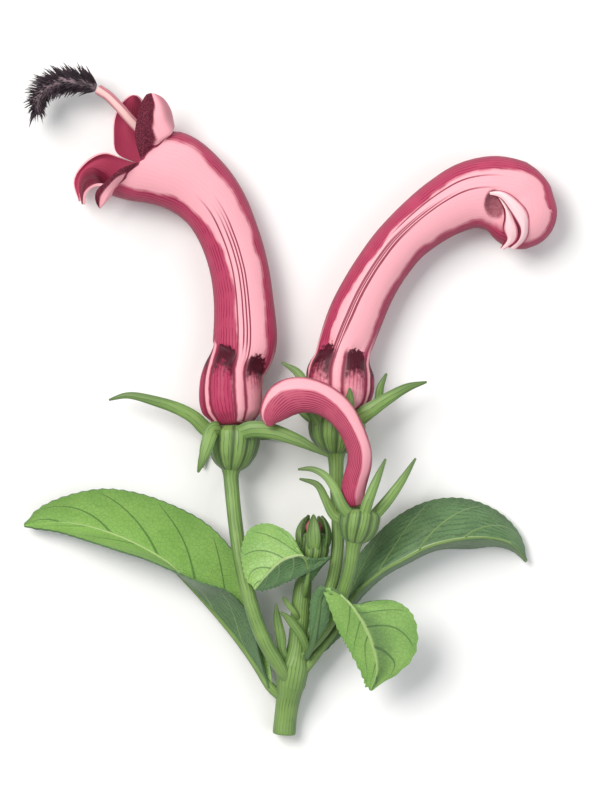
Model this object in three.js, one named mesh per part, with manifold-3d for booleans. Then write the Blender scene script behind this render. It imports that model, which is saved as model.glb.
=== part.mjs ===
import * as THREE from "three";
import { mergeVertices } from "three/addons/utils/BufferGeometryUtils.js";
import Module from "manifold-3d";

// One cut sprig of Centropogon fastuosus, lying on its side on a flat surface. Sizes are in mm.
// The sprig is laid out on a sheet: x to the right, y up the sprig, z the height over the surface.
// A row of a tube is [x, y, z, half width, half height, slant of the ring, roll in degrees].
// A row of a rail is [x, y, z]. Each rail runs from the root of a blade to its tip.

// Middle of the sheet, which becomes the origin
const SHEET_CENTRE_X = 58.1;
const SHEET_CENTRE_Y = 79.8;

// Flesh and blades
const COROLLA_WALL = 0.8;
const LOBE_THICKNESS = 0.8;
const LEAF_THICKNESS = 0.66;
const FLOWER_SIDES = 20;
const STALK_SIDES = 10;
const SEPAL_SIDES = 6;
const WELD_STEP = 0.001;

// Midrib on the lower face of a leaf, and how it fades towards the tip
const MIDRIB_RISE = 0.45;
const SMALL_MIDRIB_RISE = 0.27;
const MIDRIB_FADE_RATE = 2.5;
const MIDRIB_LEAST = 0.25;

// Teeth of the leaf edges, which lean towards the tip
const TOOTH_DEPTH = 0.3;
const SMALL_TOOTH_DEPTH = 0.24;
const TOOTH_LEAN = 0.8;
const PLAIN_ROWS = 3;

// Ribs of the seed cases, and the pouches at the base of a corolla
const RIB_COUNT = 10;
const RIB_DEPTH = 0.045;
const POUCH_COUNT = 5;
const POUCH_PHASE = 0.75 * 2 * Math.PI;
const POUCH_FADE = 0.04;
const HOLLOW_DEPTH = 0.1;
const HOLLOW_HALF = 0.036;

// Anther brush
const BRISTLE_COUNT = 140;
const BRISTLE_ROOT = 0.26;
const BRISTLE_LONG = 3.3;
const BRISTLE_SHORT = 2.2;
const BRISTLE_SUNK = 0.45;
const BRISTLE_FIRST = 0.03;
const BRISTLE_SPAN = 0.95;
const BRISTLE_LEAST_LENGTH = 0.75;
const BRISTLE_LENGTH_SPREAD = 0.35;
const BRISTLE_TURN_SPREAD = 0.4;
const BRISTLE_LEAN = 0.35;
const BRISTLE_LEAN_SPREAD = 0.5;
const BRUSH_TIP_FROM = 0.85;
const BRUSH_TIP_LEAN = 5.4;
const BRISTLE_SEED = 11;
const RANDOM_FACTOR = 16807;
const RANDOM_RANGE = 2147483647;

// Hooded tip of the closed flower
const HOOD_CENTRE = [104.1, 117.5, 5.9];
const HOOD_RADII = [7.5, 7.4, 5.75];
const HOOD_RECESS_CENTRE = [98.5, 118.5, 11.6];
const HOOD_RECESS_RADII = [1.6, 2.9, 2.3];
const HOOD_SIDES = 20;
const HOOD_RINGS = 12;

const colours = {
  stem: 0x7c8f4a,
  stalk: 0x8a9a52,
  leaf: 0x3f7a36,
  calyx: 0x6f8f45,
  corolla: 0xd65a86,
  column: 0xe9c3c4,
  brush: 0x2b1b2e,
};

const wasm = await Module();
wasm.setup();

function point(row) {
  return new THREE.Vector3(row[0] - SHEET_CENTRE_X, row[1] - SHEET_CENTRE_Y, row[2]);
}

function seededRandom(seed) {
  let state = seed;
  return () => {
    state = (state * RANDOM_FACTOR) % RANDOM_RANGE;
    return state / RANDOM_RANGE;
  };
}

// The smooth curve through the rows, and the smooth change of their sizes beside it
function routeOf(rows) {
  const path = new THREE.CatmullRomCurve3(rows.map(point), false, "centripetal");
  const sizes = new THREE.CatmullRomCurve3(
    rows.map((row) => new THREE.Vector3(row[3], row[4], row[5] || 0)),
    false,
    "centripetal",
  );
  const rolls = rows.map((row) => row[6] || 0);
  return { path, sizes, rolls };
}

// Place, direction, side and upward vector of the route at one station
function frameAt(route, u) {
  const place = route.path.getPoint(u);
  const ahead = route.path.getTangent(u).normalize();
  const side = new THREE.Vector3(0, 0, 1).cross(ahead).normalize();
  const up = ahead.clone().cross(side);
  const index = u * (route.rolls.length - 1);
  const low = Math.floor(Math.min(index, route.rolls.length - 2));
  const roll = THREE.MathUtils.lerp(route.rolls[low], route.rolls[low + 1], index - low);
  const turn = new THREE.Quaternion().setFromAxisAngle(ahead, THREE.MathUtils.degToRad(roll));
  return { place, ahead, side: side.applyQuaternion(turn), up: up.applyQuaternion(turn) };
}

// One ring of a tube; shape(u, angle) scales the ring, shrink takes a wall off it
function ringAt(route, u, sides, shape, shrink, floor) {
  const frame = frameAt(route, u);
  const size = route.sizes.getPoint(u);
  const ring = [];
  for (let i = 0; i < sides; i += 1) {
    const angle = (2 * Math.PI * i) / sides;
    const scale = shape(u, angle);
    const across = (size.x - shrink) * scale * Math.cos(angle);
    const upward = (size.y - shrink) * scale * Math.sin(angle);
    const vertex = frame.place
      .clone()
      .addScaledVector(frame.side, across)
      .addScaledVector(frame.up, upward)
      .addScaledVector(frame.ahead, size.z * Math.cos(angle));
    vertex.z = Math.max(vertex.z, floor);
    ring.push(vertex);
  }
  return ring;
}

// Closed surface through a list of rings, with a fan over each end
function skin(rings) {
  const sides = rings[0].length;
  const triangles = [];
  for (let i = 0; i < rings.length - 1; i += 1) {
    for (let j = 0; j < sides; j += 1) {
      const next = (j + 1) % sides;
      triangles.push(rings[i][j], rings[i][next], rings[i + 1][next]);
      triangles.push(rings[i][j], rings[i + 1][next], rings[i + 1][j]);
    }
  }
  const first = rings[0];
  const last = rings[rings.length - 1];
  const start = middleOf(first);
  const end = middleOf(last);
  for (let j = 0; j < sides; j += 1) {
    const next = (j + 1) % sides;
    triangles.push(start, first[next], first[j]);
    triangles.push(end, last[j], last[next]);
  }
  return geometryOf(triangles);
}

function middleOf(ring) {
  const sum = new THREE.Vector3();
  ring.forEach((vertex) => sum.add(vertex));
  return sum.divideScalar(ring.length);
}

function geometryOf(triangles) {
  const values = triangles.flatMap((vertex) => [vertex.x, vertex.y, vertex.z]);
  const geometry = new THREE.BufferGeometry();
  geometry.setAttribute("position", new THREE.Float32BufferAttribute(values, 3));
  return mergeVertices(geometry, WELD_STEP);
}

function plain() {
  return 1;
}

// Ribs of a seed case, which fade out at its rim
function ribbed(u, angle) {
  const fade = 1 - THREE.MathUtils.smoothstep(u, 0.9, 1.1);
  return 1 + RIB_DEPTH * fade * Math.cos(RIB_COUNT * angle);
}

// Pouches of a corolla's base with slim ribs between them, each pouch under a hollow at the waist
function pouched(waist) {
  return (u, angle) => {
    const fade = 1 - THREE.MathUtils.smoothstep(u, waist - POUCH_FADE, waist + POUCH_FADE);
    const high = (u - waist) / HOLLOW_HALF;
    const crest = Math.max(0, Math.cos(POUCH_COUNT * angle - POUCH_PHASE));
    const hollow = HOLLOW_DEPTH * crest * Math.exp(-high * high);
    return 1 - RIB_DEPTH * fade * Math.cos(2 * POUCH_COUNT * angle) - hollow;
  };
}

function tube(rows, { steps, sides = STALK_SIDES, shape = plain }) {
  const route = routeOf(rows);
  const rings = [];
  for (let i = 0; i <= steps; i += 1) {
    rings.push(ringAt(route, i / steps, sides, shape, 0, 0));
  }
  return skin(rings);
}

// A tube with a wall, open at its last row
function hollowTube(rows, { steps, innerSteps, sides, shape, wall }) {
  const route = routeOf(rows);
  const rings = [];
  for (let i = 0; i <= steps; i += 1) {
    rings.push(ringAt(route, i / steps, sides, shape, 0, 0));
  }
  for (let i = innerSteps; i >= 1; i -= 1) {
    rings.push(ringAt(route, i / innerSteps, sides, shape, wall, wall));
  }
  return skin(rings);
}

// A blade between two edge rails and a middle rail, with equal facets on both faces
function blade({ left, middle, right }, options) {
  const { steps, thickness, rise = 0, toothDepth = 0, bow = 0, shares = [0.14, 0.56] } = options;
  const rails = [left, middle, right].map(
    (rows) => new THREE.CatmullRomCurve3(rows.map(point), false, "centripetal"),
  );
  const places = [-1, ...shares.slice().reverse().map((share) => -share), 0, ...shares, 1];
  const grid = [];
  for (let i = 0; i <= steps; i += 1) {
    const u = i / steps;
    const [edgeLeft, spine, edgeRight] = rails.map((rail) => rail.getPointAt(u));
    const spread = edgeRight.clone().sub(edgeLeft);
    const along = rails[1].getTangentAt(u);
    const lift = spread.clone().cross(along).normalize();
    const toothed = i % 2 === 1 && i > PLAIN_ROWS && i < steps - 1;
    const tooth = toothed ? toothDepth : 0;
    grid.push(
      places.map((share) => {
        const edge = share < 0 ? edgeLeft : edgeRight;
        const out = edge.clone().sub(spine);
        const vertex = spine.clone().addScaledVector(out, Math.abs(share));
        vertex.addScaledVector(lift, bow * Math.sin(Math.PI * Math.abs(share)) * Math.sin(Math.PI * u));
        if (Math.abs(share) === 1) {
          vertex.addScaledVector(out.clone().normalize(), tooth);
          vertex.addScaledVector(along, tooth * TOOTH_LEAN);
        }
        return vertex;
      }),
    );
  }
  return thicken(grid, places, thickness, rise);
}

// Gives a sheet its two faces, with the midrib as a ridge on the lower one
function thicken(grid, places, thickness, rise) {
  const rows = grid.length;
  const columns = places.length;
  const under = [];
  const over = [];
  for (let i = 0; i < rows; i += 1) {
    under.push([]);
    over.push([]);
    for (let j = 0; j < columns; j += 1) {
      const alongward = grid[Math.min(i + 1, rows - 1)][j].clone().sub(grid[Math.max(i - 1, 0)][j]);
      const sideward = grid[i][Math.min(j + 1, columns - 1)].clone().sub(grid[i][Math.max(j - 1, 0)]);
      const normal = sideward.cross(alongward).normalize();
      const fade = Math.min(1, MIDRIB_FADE_RATE * (1 - i / (rows - 1)) + MIDRIB_LEAST);
      const ridge = places[j] === 0 ? rise * fade : 0;
      under[i].push(grid[i][j].clone().addScaledVector(normal, thickness / 2 + ridge));
      over[i].push(grid[i][j].clone().addScaledVector(normal, -thickness / 2));
    }
  }
  const triangles = [];
  const quad = (a, b, c, d) => triangles.push(a, b, c, a, c, d);
  for (let i = 0; i < rows - 1; i += 1) {
    for (let j = 0; j < columns - 1; j += 1) {
      quad(under[i][j], under[i][j + 1], under[i + 1][j + 1], under[i + 1][j]);
      triangles.push(over[i][j], over[i + 1][j + 1], over[i][j + 1]);
      triangles.push(over[i][j], over[i + 1][j], over[i + 1][j + 1]);
    }
    const end = columns - 1;
    quad(over[i][0], under[i][0], under[i + 1][0], over[i + 1][0]);
    quad(under[i][end], over[i][end], over[i + 1][end], under[i + 1][end]);
  }
  const last = rows - 1;
  for (let j = 0; j < columns - 1; j += 1) {
    quad(over[0][j], over[0][j + 1], under[0][j + 1], under[0][j]);
    quad(under[last][j], under[last][j + 1], over[last][j + 1], over[last][j]);
  }
  return geometryOf(triangles);
}

function ellipsoid(centre, radii) {
  const geometry = new THREE.SphereGeometry(1, HOOD_SIDES, HOOD_RINGS);
  const middle = point(centre);
  geometry.scale(radii[0], radii[1], radii[2]);
  geometry.translate(middle.x, middle.y, middle.z);
  return geometry;
}

function solidOf(geometry) {
  const bare = geometry.clone();
  bare.deleteAttribute("normal");
  bare.deleteAttribute("uv");
  const welded = mergeVertices(bare, WELD_STEP);
  return new wasm.Manifold(
    new wasm.Mesh({
      numProp: 3,
      vertProperties: welded.getAttribute("position").array,
      triVerts: new Uint32Array(welded.index.array),
    }),
  );
}

function geometryFrom(solid) {
  const result = solid.getMesh();
  const geometry = new THREE.BufferGeometry();
  geometry.setAttribute("position", new THREE.BufferAttribute(result.vertProperties, 3));
  geometry.setIndex(new THREE.BufferAttribute(result.triVerts, 1));
  return geometry;
}

function joined(geometries) {
  const whole = geometries.map(solidOf).reduce((sum, next) => sum.add(next));
  return geometryFrom(whole);
}

function makeMesh(name, geometry, colour, roughness) {
  const material = new THREE.MeshStandardMaterial({ color: colour, roughness, metalness: 0 });
  geometry.computeVertexNormals();
  const mesh = new THREE.Mesh(geometry, material);
  mesh.name = name;
  return mesh;
}

// Stem, from its cut end to the top of the leafy shoot
function makeStem() {
  const rows = [
    [56.8, 13.0, 2.2, 2.35, 2.3],
    [57.1, 16.4, 2.6, 2.3, 2.3],
    [57.7, 20.6, 4.0, 2.5, 2.5],
    [58.3, 24.0, 5.2, 3.0, 2.8],
    [58.8, 26.2, 5.8, 3.0, 2.6],
    [59.2, 28.6, 6.2, 2.3, 2.2],
    [59.6, 32.0, 6.4, 1.95, 1.85],
    [60.0, 36.4, 6.6, 1.95, 1.8],
    [60.3, 40.4, 6.8, 1.9, 1.75],
    [60.7, 43.4, 7.0, 1.7, 1.6],
    [61.0, 44.8, 7.1, 1.1, 1.1],
  ];
  return makeMesh("stem", tube(rows, { steps: 18, sides: 10 }), colours.stem, 0.6);
}

function makeOpenFlowerStalk() {
  const rows = [
    [55.2, 27.8, 8.6, 1.35, 1.35],
    [53.4, 31.0, 9.6, 1.5, 1.45],
    [51.8, 34.4, 10.1, 1.5, 1.5],
    [49.6, 41.6, 10.2, 1.5, 1.5],
    [47.9, 49.6, 9.4, 1.5, 1.5],
    [46.8, 58.0, 7.8, 1.5, 1.5],
    [46.2, 65.2, 6.5, 1.6, 1.6],
  ];
  return makeMesh("stalk_open_flower", tube(rows, { steps: 13 }), colours.stalk, 0.55);
}

function makeClosedFlowerStalk() {
  const rows = [
    [63.6, 37.0, 6.3, 1.1, 1.1],
    [65.4, 40.6, 6.3, 1.25, 1.25],
    [66.8, 45.0, 6.5, 1.3, 1.3],
    [67.6, 52.0, 6.7, 1.3, 1.3],
    [67.4, 60.0, 6.7, 1.35, 1.35],
    [67.2, 68.85, 6.5, 1.6, 1.6],
  ];
  return makeMesh("stalk_closed_flower", tube(rows, { steps: 11 }), colours.stalk, 0.55);
}

function makeYoungBudStalk() {
  const rows = [
    [62.5, 31.4, 8.2, 0.95, 0.95],
    [65.0, 34.2, 8.7, 1.2, 1.2],
    [67.3, 38.2, 9.8, 1.3, 1.3],
    [68.8, 42.4, 11.0, 1.35, 1.35],
    [70.0, 47.0, 12.6, 1.4, 1.4],
    [70.65, 51.0, 13.65, 1.5, 1.5],
  ];
  return makeMesh("stalk_young_bud", tube(rows, { steps: 11 }), colours.stalk, 0.55);
}

function makeSmallBudStalk() {
  const rows = [
    [61.35, 45.3, 7.2, 0.9, 0.9],
    [61.8, 45.95, 7.3, 0.95, 0.95],
    [62.1, 46.6, 7.35, 1.05, 1.05],
  ];
  return makeMesh("stalk_small_bud", tube(rows, { steps: 3 }), colours.stalk, 0.55);
}

// Large leaf on the left: a trough, its upper face up, its lower half turned up and folded over
function makeLeftLeaf() {
  const rails = {
    left: [
      [54.5, 23.2, 4.6],
      [53.8, 28.4, 4.4],
      [52.4, 35.0, 4.2],
      [50.4, 42.6, 4.6],
      [46.6, 49.4, 5.6],
      [41.2, 55.0, 6.2],
      [34.2, 58.8, 6.0],
      [27.0, 61.2, 5.4],
      [20.6, 61.9, 4.8],
      [13.6, 60.6, 4.0],
      [8.4, 58.4, 3.4],
      [4.7, 55.2, 2.8],
    ],
    middle: [
      [54.2, 22.6, 4.8],
      [51.8, 26.2, 4.0],
      [48.0, 31.4, 3.2],
      [44.8, 35.2, 2.6],
      [41.2, 39.2, 2.2],
      [37.4, 43.2, 1.8],
      [33.0, 47.4, 1.6],
      [25.6, 51.6, 1.5],
      [18.4, 54.3, 1.7],
      [12.0, 55.4, 2.1],
      [4.6, 54.9, 2.6],
    ],
    right: [
      [53.8, 22.2, 5.2],
      [52.0, 28.6, 6.2],
      [50.8, 33.6, 7.2],
      [49.2, 37.8, 7.7],
      [45.8, 41.4, 8.8],
      [39.8, 43.6, 9.8],
      [34.8, 45.8, 9.8],
      [29.2, 48.2, 9.4],
      [24.2, 49.8, 8.6],
      [18.0, 51.8, 7.2],
      [11.2, 53.8, 4.8],
      [4.7, 54.6, 2.9],
    ],
  };
  const options = {
    steps: 42,
    thickness: LEAF_THICKNESS,
    rise: MIDRIB_RISE,
    toothDepth: TOOTH_DEPTH,
    bow: 0.5,
  };
  return makeMesh("leaf_left", blade(rails, options), colours.leaf, 0.5);
}

// Large leaf on the right: its lower face up, the midrib its ridge, the near half steep
function makeRightLeaf() {
  const rails = {
    left: [
      [61.9, 28.5, 6.2],
      [64.4, 31.9, 6.3],
      [66.8, 36.0, 6.2],
      [67.9, 40.8, 4.6],
      [70.2, 46.2, 4.0],
      [74.4, 51.8, 3.4],
      [80.4, 57.0, 2.8],
      [87.2, 59.8, 2.6],
      [93.6, 59.8, 2.4],
      [99.8, 57.2, 2.2],
      [103.8, 53.0, 2.2],
      [105.5, 47.8, 1.9],
    ],
    middle: [
      [62.4, 28.0, 6.2],
      [65.0, 31.2, 6.5],
      [67.8, 34.8, 6.8],
      [69.6, 39.4, 7.2],
      [75.6, 45.2, 8.2],
      [80.4, 48.0, 8.8],
      [86.2, 50.9, 9.0],
      [92.0, 52.2, 8.6],
      [97.4, 52.5, 7.4],
      [102.0, 51.4, 5.4],
      [105.4, 47.6, 2.2],
    ],
    right: [
      [62.9, 27.6, 6.2],
      [65.6, 30.6, 6.3],
      [68.8, 34.0, 6.2],
      [71.0, 39.0, 5.0],
      [76.4, 44.4, 3.4],
      [81.4, 47.2, 1.8],
      [87.6, 50.0, 1.0],
      [94.4, 50.3, 0.9],
      [99.2, 50.8, 1.2],
      [102.8, 49.8, 1.6],
      [105.3, 47.5, 1.9],
    ],
  };
  const options = {
    steps: 42,
    thickness: LEAF_THICKNESS,
    rise: MIDRIB_RISE,
    toothDepth: TOOTH_DEPTH,
    bow: 0.5,
  };
  return makeMesh("leaf_right", blade(rails, options), colours.leaf, 0.5);
}

// Small leaf that arches over in front of the small bud
function makeBackLeaf() {
  const rails = {
    left: [
      [60.8, 43.4, 9.8],
      [60.0, 46.6, 10.8],
      [59.7, 50.4, 11.8],
      [57.6, 53.6, 11.7],
      [53.8, 55.3, 11.6],
      [50.2, 54.2, 11.9],
      [48.7, 50.8, 12.1],
      [48.8, 47.4, 12.2],
      [49.5, 44.6, 12.3],
      [50.9, 42.4, 12.3],
    ],
    middle: [
      [61.3, 43.1, 9.9],
      [61.6, 46.2, 11.2],
      [60.6, 48.9, 12.9],
      [56.8, 48.2, 13.3],
      [53.8, 45.6, 12.9],
      [51.0, 42.2, 12.4],
    ],
    right: [
      [61.8, 43.2, 9.8],
      [64.0, 46.4, 10.6],
      [66.3, 48.8, 11.2],
      [63.8, 46.9, 11.6],
      [59.2, 44.8, 11.5],
      [55.0, 43.0, 11.8],
      [51.2, 42.0, 12.3],
    ],
  };
  const options = {
    steps: 28,
    thickness: LEAF_THICKNESS,
    rise: SMALL_MIDRIB_RISE,
    toothDepth: SMALL_TOOTH_DEPTH,
    bow: 0.3,
  };
  return makeMesh("leaf_back", blade(rails, options), colours.leaf, 0.5);
}

// Small leaf that rises in front of the shoot and hangs over to the right
function makeFrontLeaf() {
  const rails = {
    left: [
      [61.8, 31.0, 10.6],
      [62.2, 36.0, 11.9],
      [62.6, 40.6, 13.0],
      [64.2, 42.9, 14.0],
      [65.4, 40.6, 14.2],
      [67.6, 35.0, 13.0],
      [70.2, 30.4, 12.0],
      [73.0, 24.8, 10.6],
      [73.9, 22.2, 9.9],
    ],
    middle: [
      [62.4, 31.0, 10.7],
      [63.6, 36.6, 12.0],
      [64.4, 41.2, 13.4],
      [66.4, 42.6, 15.0],
      [69.2, 40.4, 15.9],
      [71.4, 37.6, 15.8],
      [74.0, 32.0, 14.2],
      [75.2, 26.4, 12.0],
      [74.1, 22.1, 10.1],
    ],
    right: [
      [63.0, 31.0, 10.6],
      [65.8, 35.6, 12.0],
      [67.4, 40.0, 13.6],
      [68.8, 41.0, 14.8],
      [71.0, 38.6, 15.4],
      [74.2, 39.9, 14.8],
      [78.6, 39.7, 13.8],
      [82.0, 37.2, 12.8],
      [83.3, 31.6, 11.8],
      [80.4, 26.2, 11.0],
      [74.4, 22.1, 10.0],
    ],
  };
  const options = {
    steps: 30,
    thickness: LEAF_THICKNESS,
    rise: SMALL_MIDRIB_RISE,
    toothDepth: SMALL_TOOTH_DEPTH,
    bow: 0.3,
  };
  return makeMesh("leaf_front", blade(rails, options), colours.leaf, 0.5);
}

// Three tiny leaves between the open flower's stalk and the shoot
function makeAxilLeaves() {
  const tables = {
    axil_leaf_outer: [
      [56.4, 29.6, 7.8, 0.7, 0.5],
      [56.2, 32.4, 8.0, 0.95, 0.45],
      [55.5, 36.2, 8.6, 0.75, 0.4],
      [55.2, 39.4, 8.9, 0.25, 0.3],
    ],
    axil_leaf_front: [
      [61.3, 30.2, 9.0, 0.55, 0.45],
      [60.4, 32.8, 9.4, 0.8, 0.42],
      [58.8, 35.0, 9.7, 0.8, 0.4],
      [57.3, 36.8, 9.9, 0.55, 0.38],
      [56.0, 37.7, 9.9, 0.22, 0.3],
    ],
    axil_leaf_small: [
      [59.0, 37.4, 9.2, 0.4, 0.4],
      [58.1, 38.6, 9.3, 0.5, 0.36],
      [57.2, 39.8, 9.3, 0.4, 0.34],
      [56.5, 40.7, 9.3, 0.2, 0.3],
    ],
  };
  return Object.entries(tables).map(([name, rows]) =>
    makeMesh(name, tube(rows, { steps: 7, sides: 6 }), colours.leaf, 0.5),
  );
}

function sepal(rows) {
  return tube(rows, { steps: 7, sides: SEPAL_SIDES });
}

// Ribbed seed case under the open flower, with its five sepals
function makeOpenCalyx() {
  const cup = [
    [46.2, 65.9, 6.4, 1.8, 1.8],
    [46.3, 67.0, 6.4, 3.3, 3.2],
    [46.5, 69.4, 6.4, 4.7, 4.6],
    [46.7, 72.2, 6.3, 5.2, 5.1],
    [46.8, 73.9, 6.2, 5.0, 4.9],
    [46.8, 74.9, 6.2, 3.8, 3.7],
  ];
  const sepals = [
    [
      [43.6, 72.6, 6.4, 1.4, 0.6],
      [41.0, 74.3, 6.7, 1.4, 0.5],
      [39.0, 76.4, 6.9, 1.3, 0.46],
      [35.6, 78.3, 7.2, 1.15, 0.42],
      [31.0, 79.8, 7.3, 0.95, 0.4],
      [25.6, 81.0, 6.9, 0.6, 0.36],
      [21.8, 80.0, 6.2, 0.15, 0.3],
    ],
    [
      [43.9, 74.2, 9.6, 1.5, 0.6],
      [42.5, 74.0, 11.4, 1.45, 0.5],
      [41.4, 70.6, 12.4, 1.15, 0.42],
      [40.4, 67.6, 12.3, 0.7, 0.36],
      [39.7, 65.6, 11.8, 0.15, 0.3],
    ],
    [
      [47.6, 73.2, 10.4, 1.4, 0.6],
      [50.2, 74.2, 11.6, 1.6, 0.5],
      [54.0, 73.9, 12.3, 1.5, 0.42],
      [60.0, 71.8, 13.0, 1.1, 0.38],
      [65.6, 68.8, 13.0, 0.15, 0.3],
    ],
    [
      [49.2, 73.8, 3.0, 1.4, 0.6],
      [52.0, 73.2, 1.9, 1.2, 0.5],
      [55.2, 73.0, 1.4, 0.8, 0.4],
      [58.2, 72.2, 1.2, 0.15, 0.3],
    ],
    [
      [44.4, 73.8, 3.0, 1.4, 0.6],
      [41.8, 72.4, 1.7, 1.2, 0.5],
      [40.6, 69.0, 1.2, 0.8, 0.4],
      [40.4, 66.4, 1.1, 0.15, 0.3],
    ],
  ];
  const body = tube(cup, { steps: 8, sides: FLOWER_SIDES, shape: ribbed });
  return makeMesh("calyx_open_flower", joined([body, ...sepals.map(sepal)]), colours.calyx, 0.55);
}

// Open corolla: ribbed swollen base, long bent tube and five lobes round an oblique mouth
function makeOpenCorolla() {
  const rows = [
    [46.7, 75.6, 6.2, 4.2, 4.1],
    [46.6, 77.6, 6.1, 5.9, 5.6],
    [46.4, 80.4, 6.0, 6.4, 5.9],
    [46.5, 83.4, 5.9, 6.3, 5.8],
    [47.2, 86.6, 5.7, 5.95, 5.6],
    [48.5, 89.4, 5.4, 6.3, 5.5],
    [49.0, 92.2, 5.3, 6.45, 5.5],
    [48.7, 100.0, 5.2, 6.0, 5.5],
    [47.8, 106.4, 5.2, 5.9, 5.5],
    [45.8, 113.0, 5.2, 6.0, 5.5],
    [42.8, 119.0, 5.5, 6.5, 5.7],
    [38.8, 123.2, 5.8, 7.2, 5.95, 0.8],
    [34.0, 125.9, 6.3, 7.9, 6.3, 2.6],
    [28.0, 127.4, 6.7, 7.7, 6.6, 4.9],
  ];
  const lobes = [
    // near upper lobe, folded back
    {
      left: [
        [28.0, 126.9, 12.7],
        [27.0, 132.0, 12.6],
        [27.5, 136.0, 12.0],
        [28.3, 138.8, 11.2],
        [29.8, 141.0, 10.6],
      ],
      middle: [
        [32.4, 131.2, 11.0],
        [31.4, 134.6, 12.4],
        [30.9, 138.2, 11.8],
        [30.1, 141.3, 10.6],
      ],
      right: [
        [35.2, 132.9, 6.8],
        [34.8, 136.2, 8.0],
        [33.9, 138.7, 9.0],
        [32.3, 140.4, 9.9],
        [30.6, 141.1, 10.4],
      ],
    },
    // far upper lobe, erect
    {
      left: [
        [34.8, 133.0, 5.8],
        [31.0, 136.0, 4.8],
        [28.9, 138.8, 4.2],
        [28.2, 140.5, 3.6],
        [27.0, 141.1, 3.3],
      ],
      middle: [
        [32.6, 131.2, 2.0],
        [27.8, 133.4, 2.0],
        [26.0, 137.8, 2.4],
        [26.7, 141.2, 3.1],
      ],
      right: [
        [28.4, 126.9, 0.8],
        [23.3, 129.4, 1.2],
        [22.5, 133.2, 1.6],
        [22.8, 137.0, 2.0],
        [24.4, 140.0, 2.6],
        [26.4, 141.2, 3.1],
      ],
    },
    // far side lobe, spreading and curled down
    {
      left: [
        [30.4, 128.6, 0.8],
        [25.0, 129.6, 1.2],
        [21.2, 130.0, 1.8],
        [17.2, 128.2, 2.4],
        [14.4, 124.0, 3.0],
        [15.7, 119.8, 3.6],
      ],
      middle: [
        [26.6, 125.6, 0.9],
        [21.4, 127.8, 1.5],
        [16.4, 125.4, 2.7],
        [15.9, 119.8, 3.7],
      ],
      right: [
        [23.2, 122.4, 2.8],
        [19.4, 125.0, 3.4],
        [16.8, 123.6, 4.0],
        [16.1, 119.9, 3.9],
      ],
    },
    // lowest lobe
    {
      left: [
        [23.4, 122.6, 3.6],
        [19.8, 126.2, 3.9],
        [17.2, 126.2, 4.4],
        [15.9, 123.0, 5.4],
        [16.7, 119.2, 6.8],
      ],
      middle: [
        [22.4, 121.6, 6.6],
        [19.4, 124.2, 6.8],
        [17.0, 123.2, 7.2],
        [16.9, 119.1, 7.2],
      ],
      right: [
        [23.4, 122.6, 9.8],
        [21.0, 122.9, 9.6],
        [18.8, 122.5, 9.2],
        [17.3, 121.2, 8.6],
        [17.1, 119.1, 7.6],
      ],
    },
    // near side lobe, seen edge on
    {
      left: [
        [23.4, 122.2, 9.8],
        [22.6, 120.8, 11.8],
        [21.6, 119.6, 12.6],
        [20.4, 118.2, 12.4],
      ],
      middle: [
        [25.6, 124.6, 12.1],
        [23.0, 123.2, 13.8],
        [21.2, 120.8, 13.8],
        [20.2, 118.1, 12.6],
      ],
      right: [
        [28.0, 126.4, 12.7],
        [23.8, 125.5, 14.0],
        [22.0, 123.2, 14.3],
        [20.6, 120.8, 13.8],
        [20.0, 118.2, 12.7],
      ],
    },
  ];
  const body = hollowTube(rows, {
    steps: 26,
    innerSteps: 15,
    sides: FLOWER_SIDES,
    shape: pouched(0.34),
    wall: COROLLA_WALL,
  });
  const sheets = lobes.map((rails) => blade(rails, { steps: 7, thickness: LOBE_THICKNESS, shares: [0.5] }));
  return makeMesh("corolla_open", joined([body, ...sheets]), colours.corolla, 0.45);
}

// Pale column of joined stamens, from the floor of the corolla out through its mouth
function makeStamenColumn() {
  const rows = [
    [46.7, 78.35, 6.1, 0.85, 0.85],
    [47.4, 87.0, 5.9, 0.85, 0.85],
    [48.9, 97.0, 5.9, 0.9, 0.9],
    [48.2, 107.0, 6.0, 0.9, 0.9],
    [46.0, 114.5, 6.2, 0.9, 0.9],
    [42.2, 121.0, 6.6, 0.95, 0.95],
    [37.4, 126.4, 7.0, 1.0, 1.0],
    [32.0, 130.6, 7.4, 1.05, 1.05],
    [27.2, 134.8, 7.8, 1.05, 1.05],
    [23.8, 138.6, 8.0, 1.05, 1.05],
    [21.6, 140.8, 8.0, 1.05, 1.05],
    [19.6, 142.1, 7.9, 1.1, 1.1],
  ];
  return makeMesh("stamen_column", tube(rows, { steps: 24, sides: 8 }), colours.column, 0.5);
}

// Dark anther tube, set with bristles on all sides
function makeAntherBrush() {
  const rows = [
    [19.2, 142.35, 7.9, 0.9, 0.9],
    [16.4, 143.3, 7.8, 1.25, 1.25],
    [12.8, 143.5, 7.6, 1.35, 1.35],
    [9.4, 142.1, 7.4, 1.3, 1.3],
    [7.6, 139.6, 7.2, 1.15, 1.15],
    [7.7, 137.4, 7.1, 0.7, 0.7],
  ];
  const route = routeOf(rows);
  const random = seededRandom(BRISTLE_SEED);
  const parts = [tube(rows, { steps: 10, sides: 8 })];
  const golden = Math.PI * (3 - Math.sqrt(5));
  for (let i = 0; i < BRISTLE_COUNT; i += 1) {
    const u = BRISTLE_FIRST + (BRISTLE_SPAN * (i + 0.5)) / BRISTLE_COUNT;
    const angle = i * golden + BRISTLE_TURN_SPREAD * random();
    parts.push(bristle(route, u, angle, random));
  }
  return makeMesh("anther_brush", joined(parts), colours.brush, 0.7);
}

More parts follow.
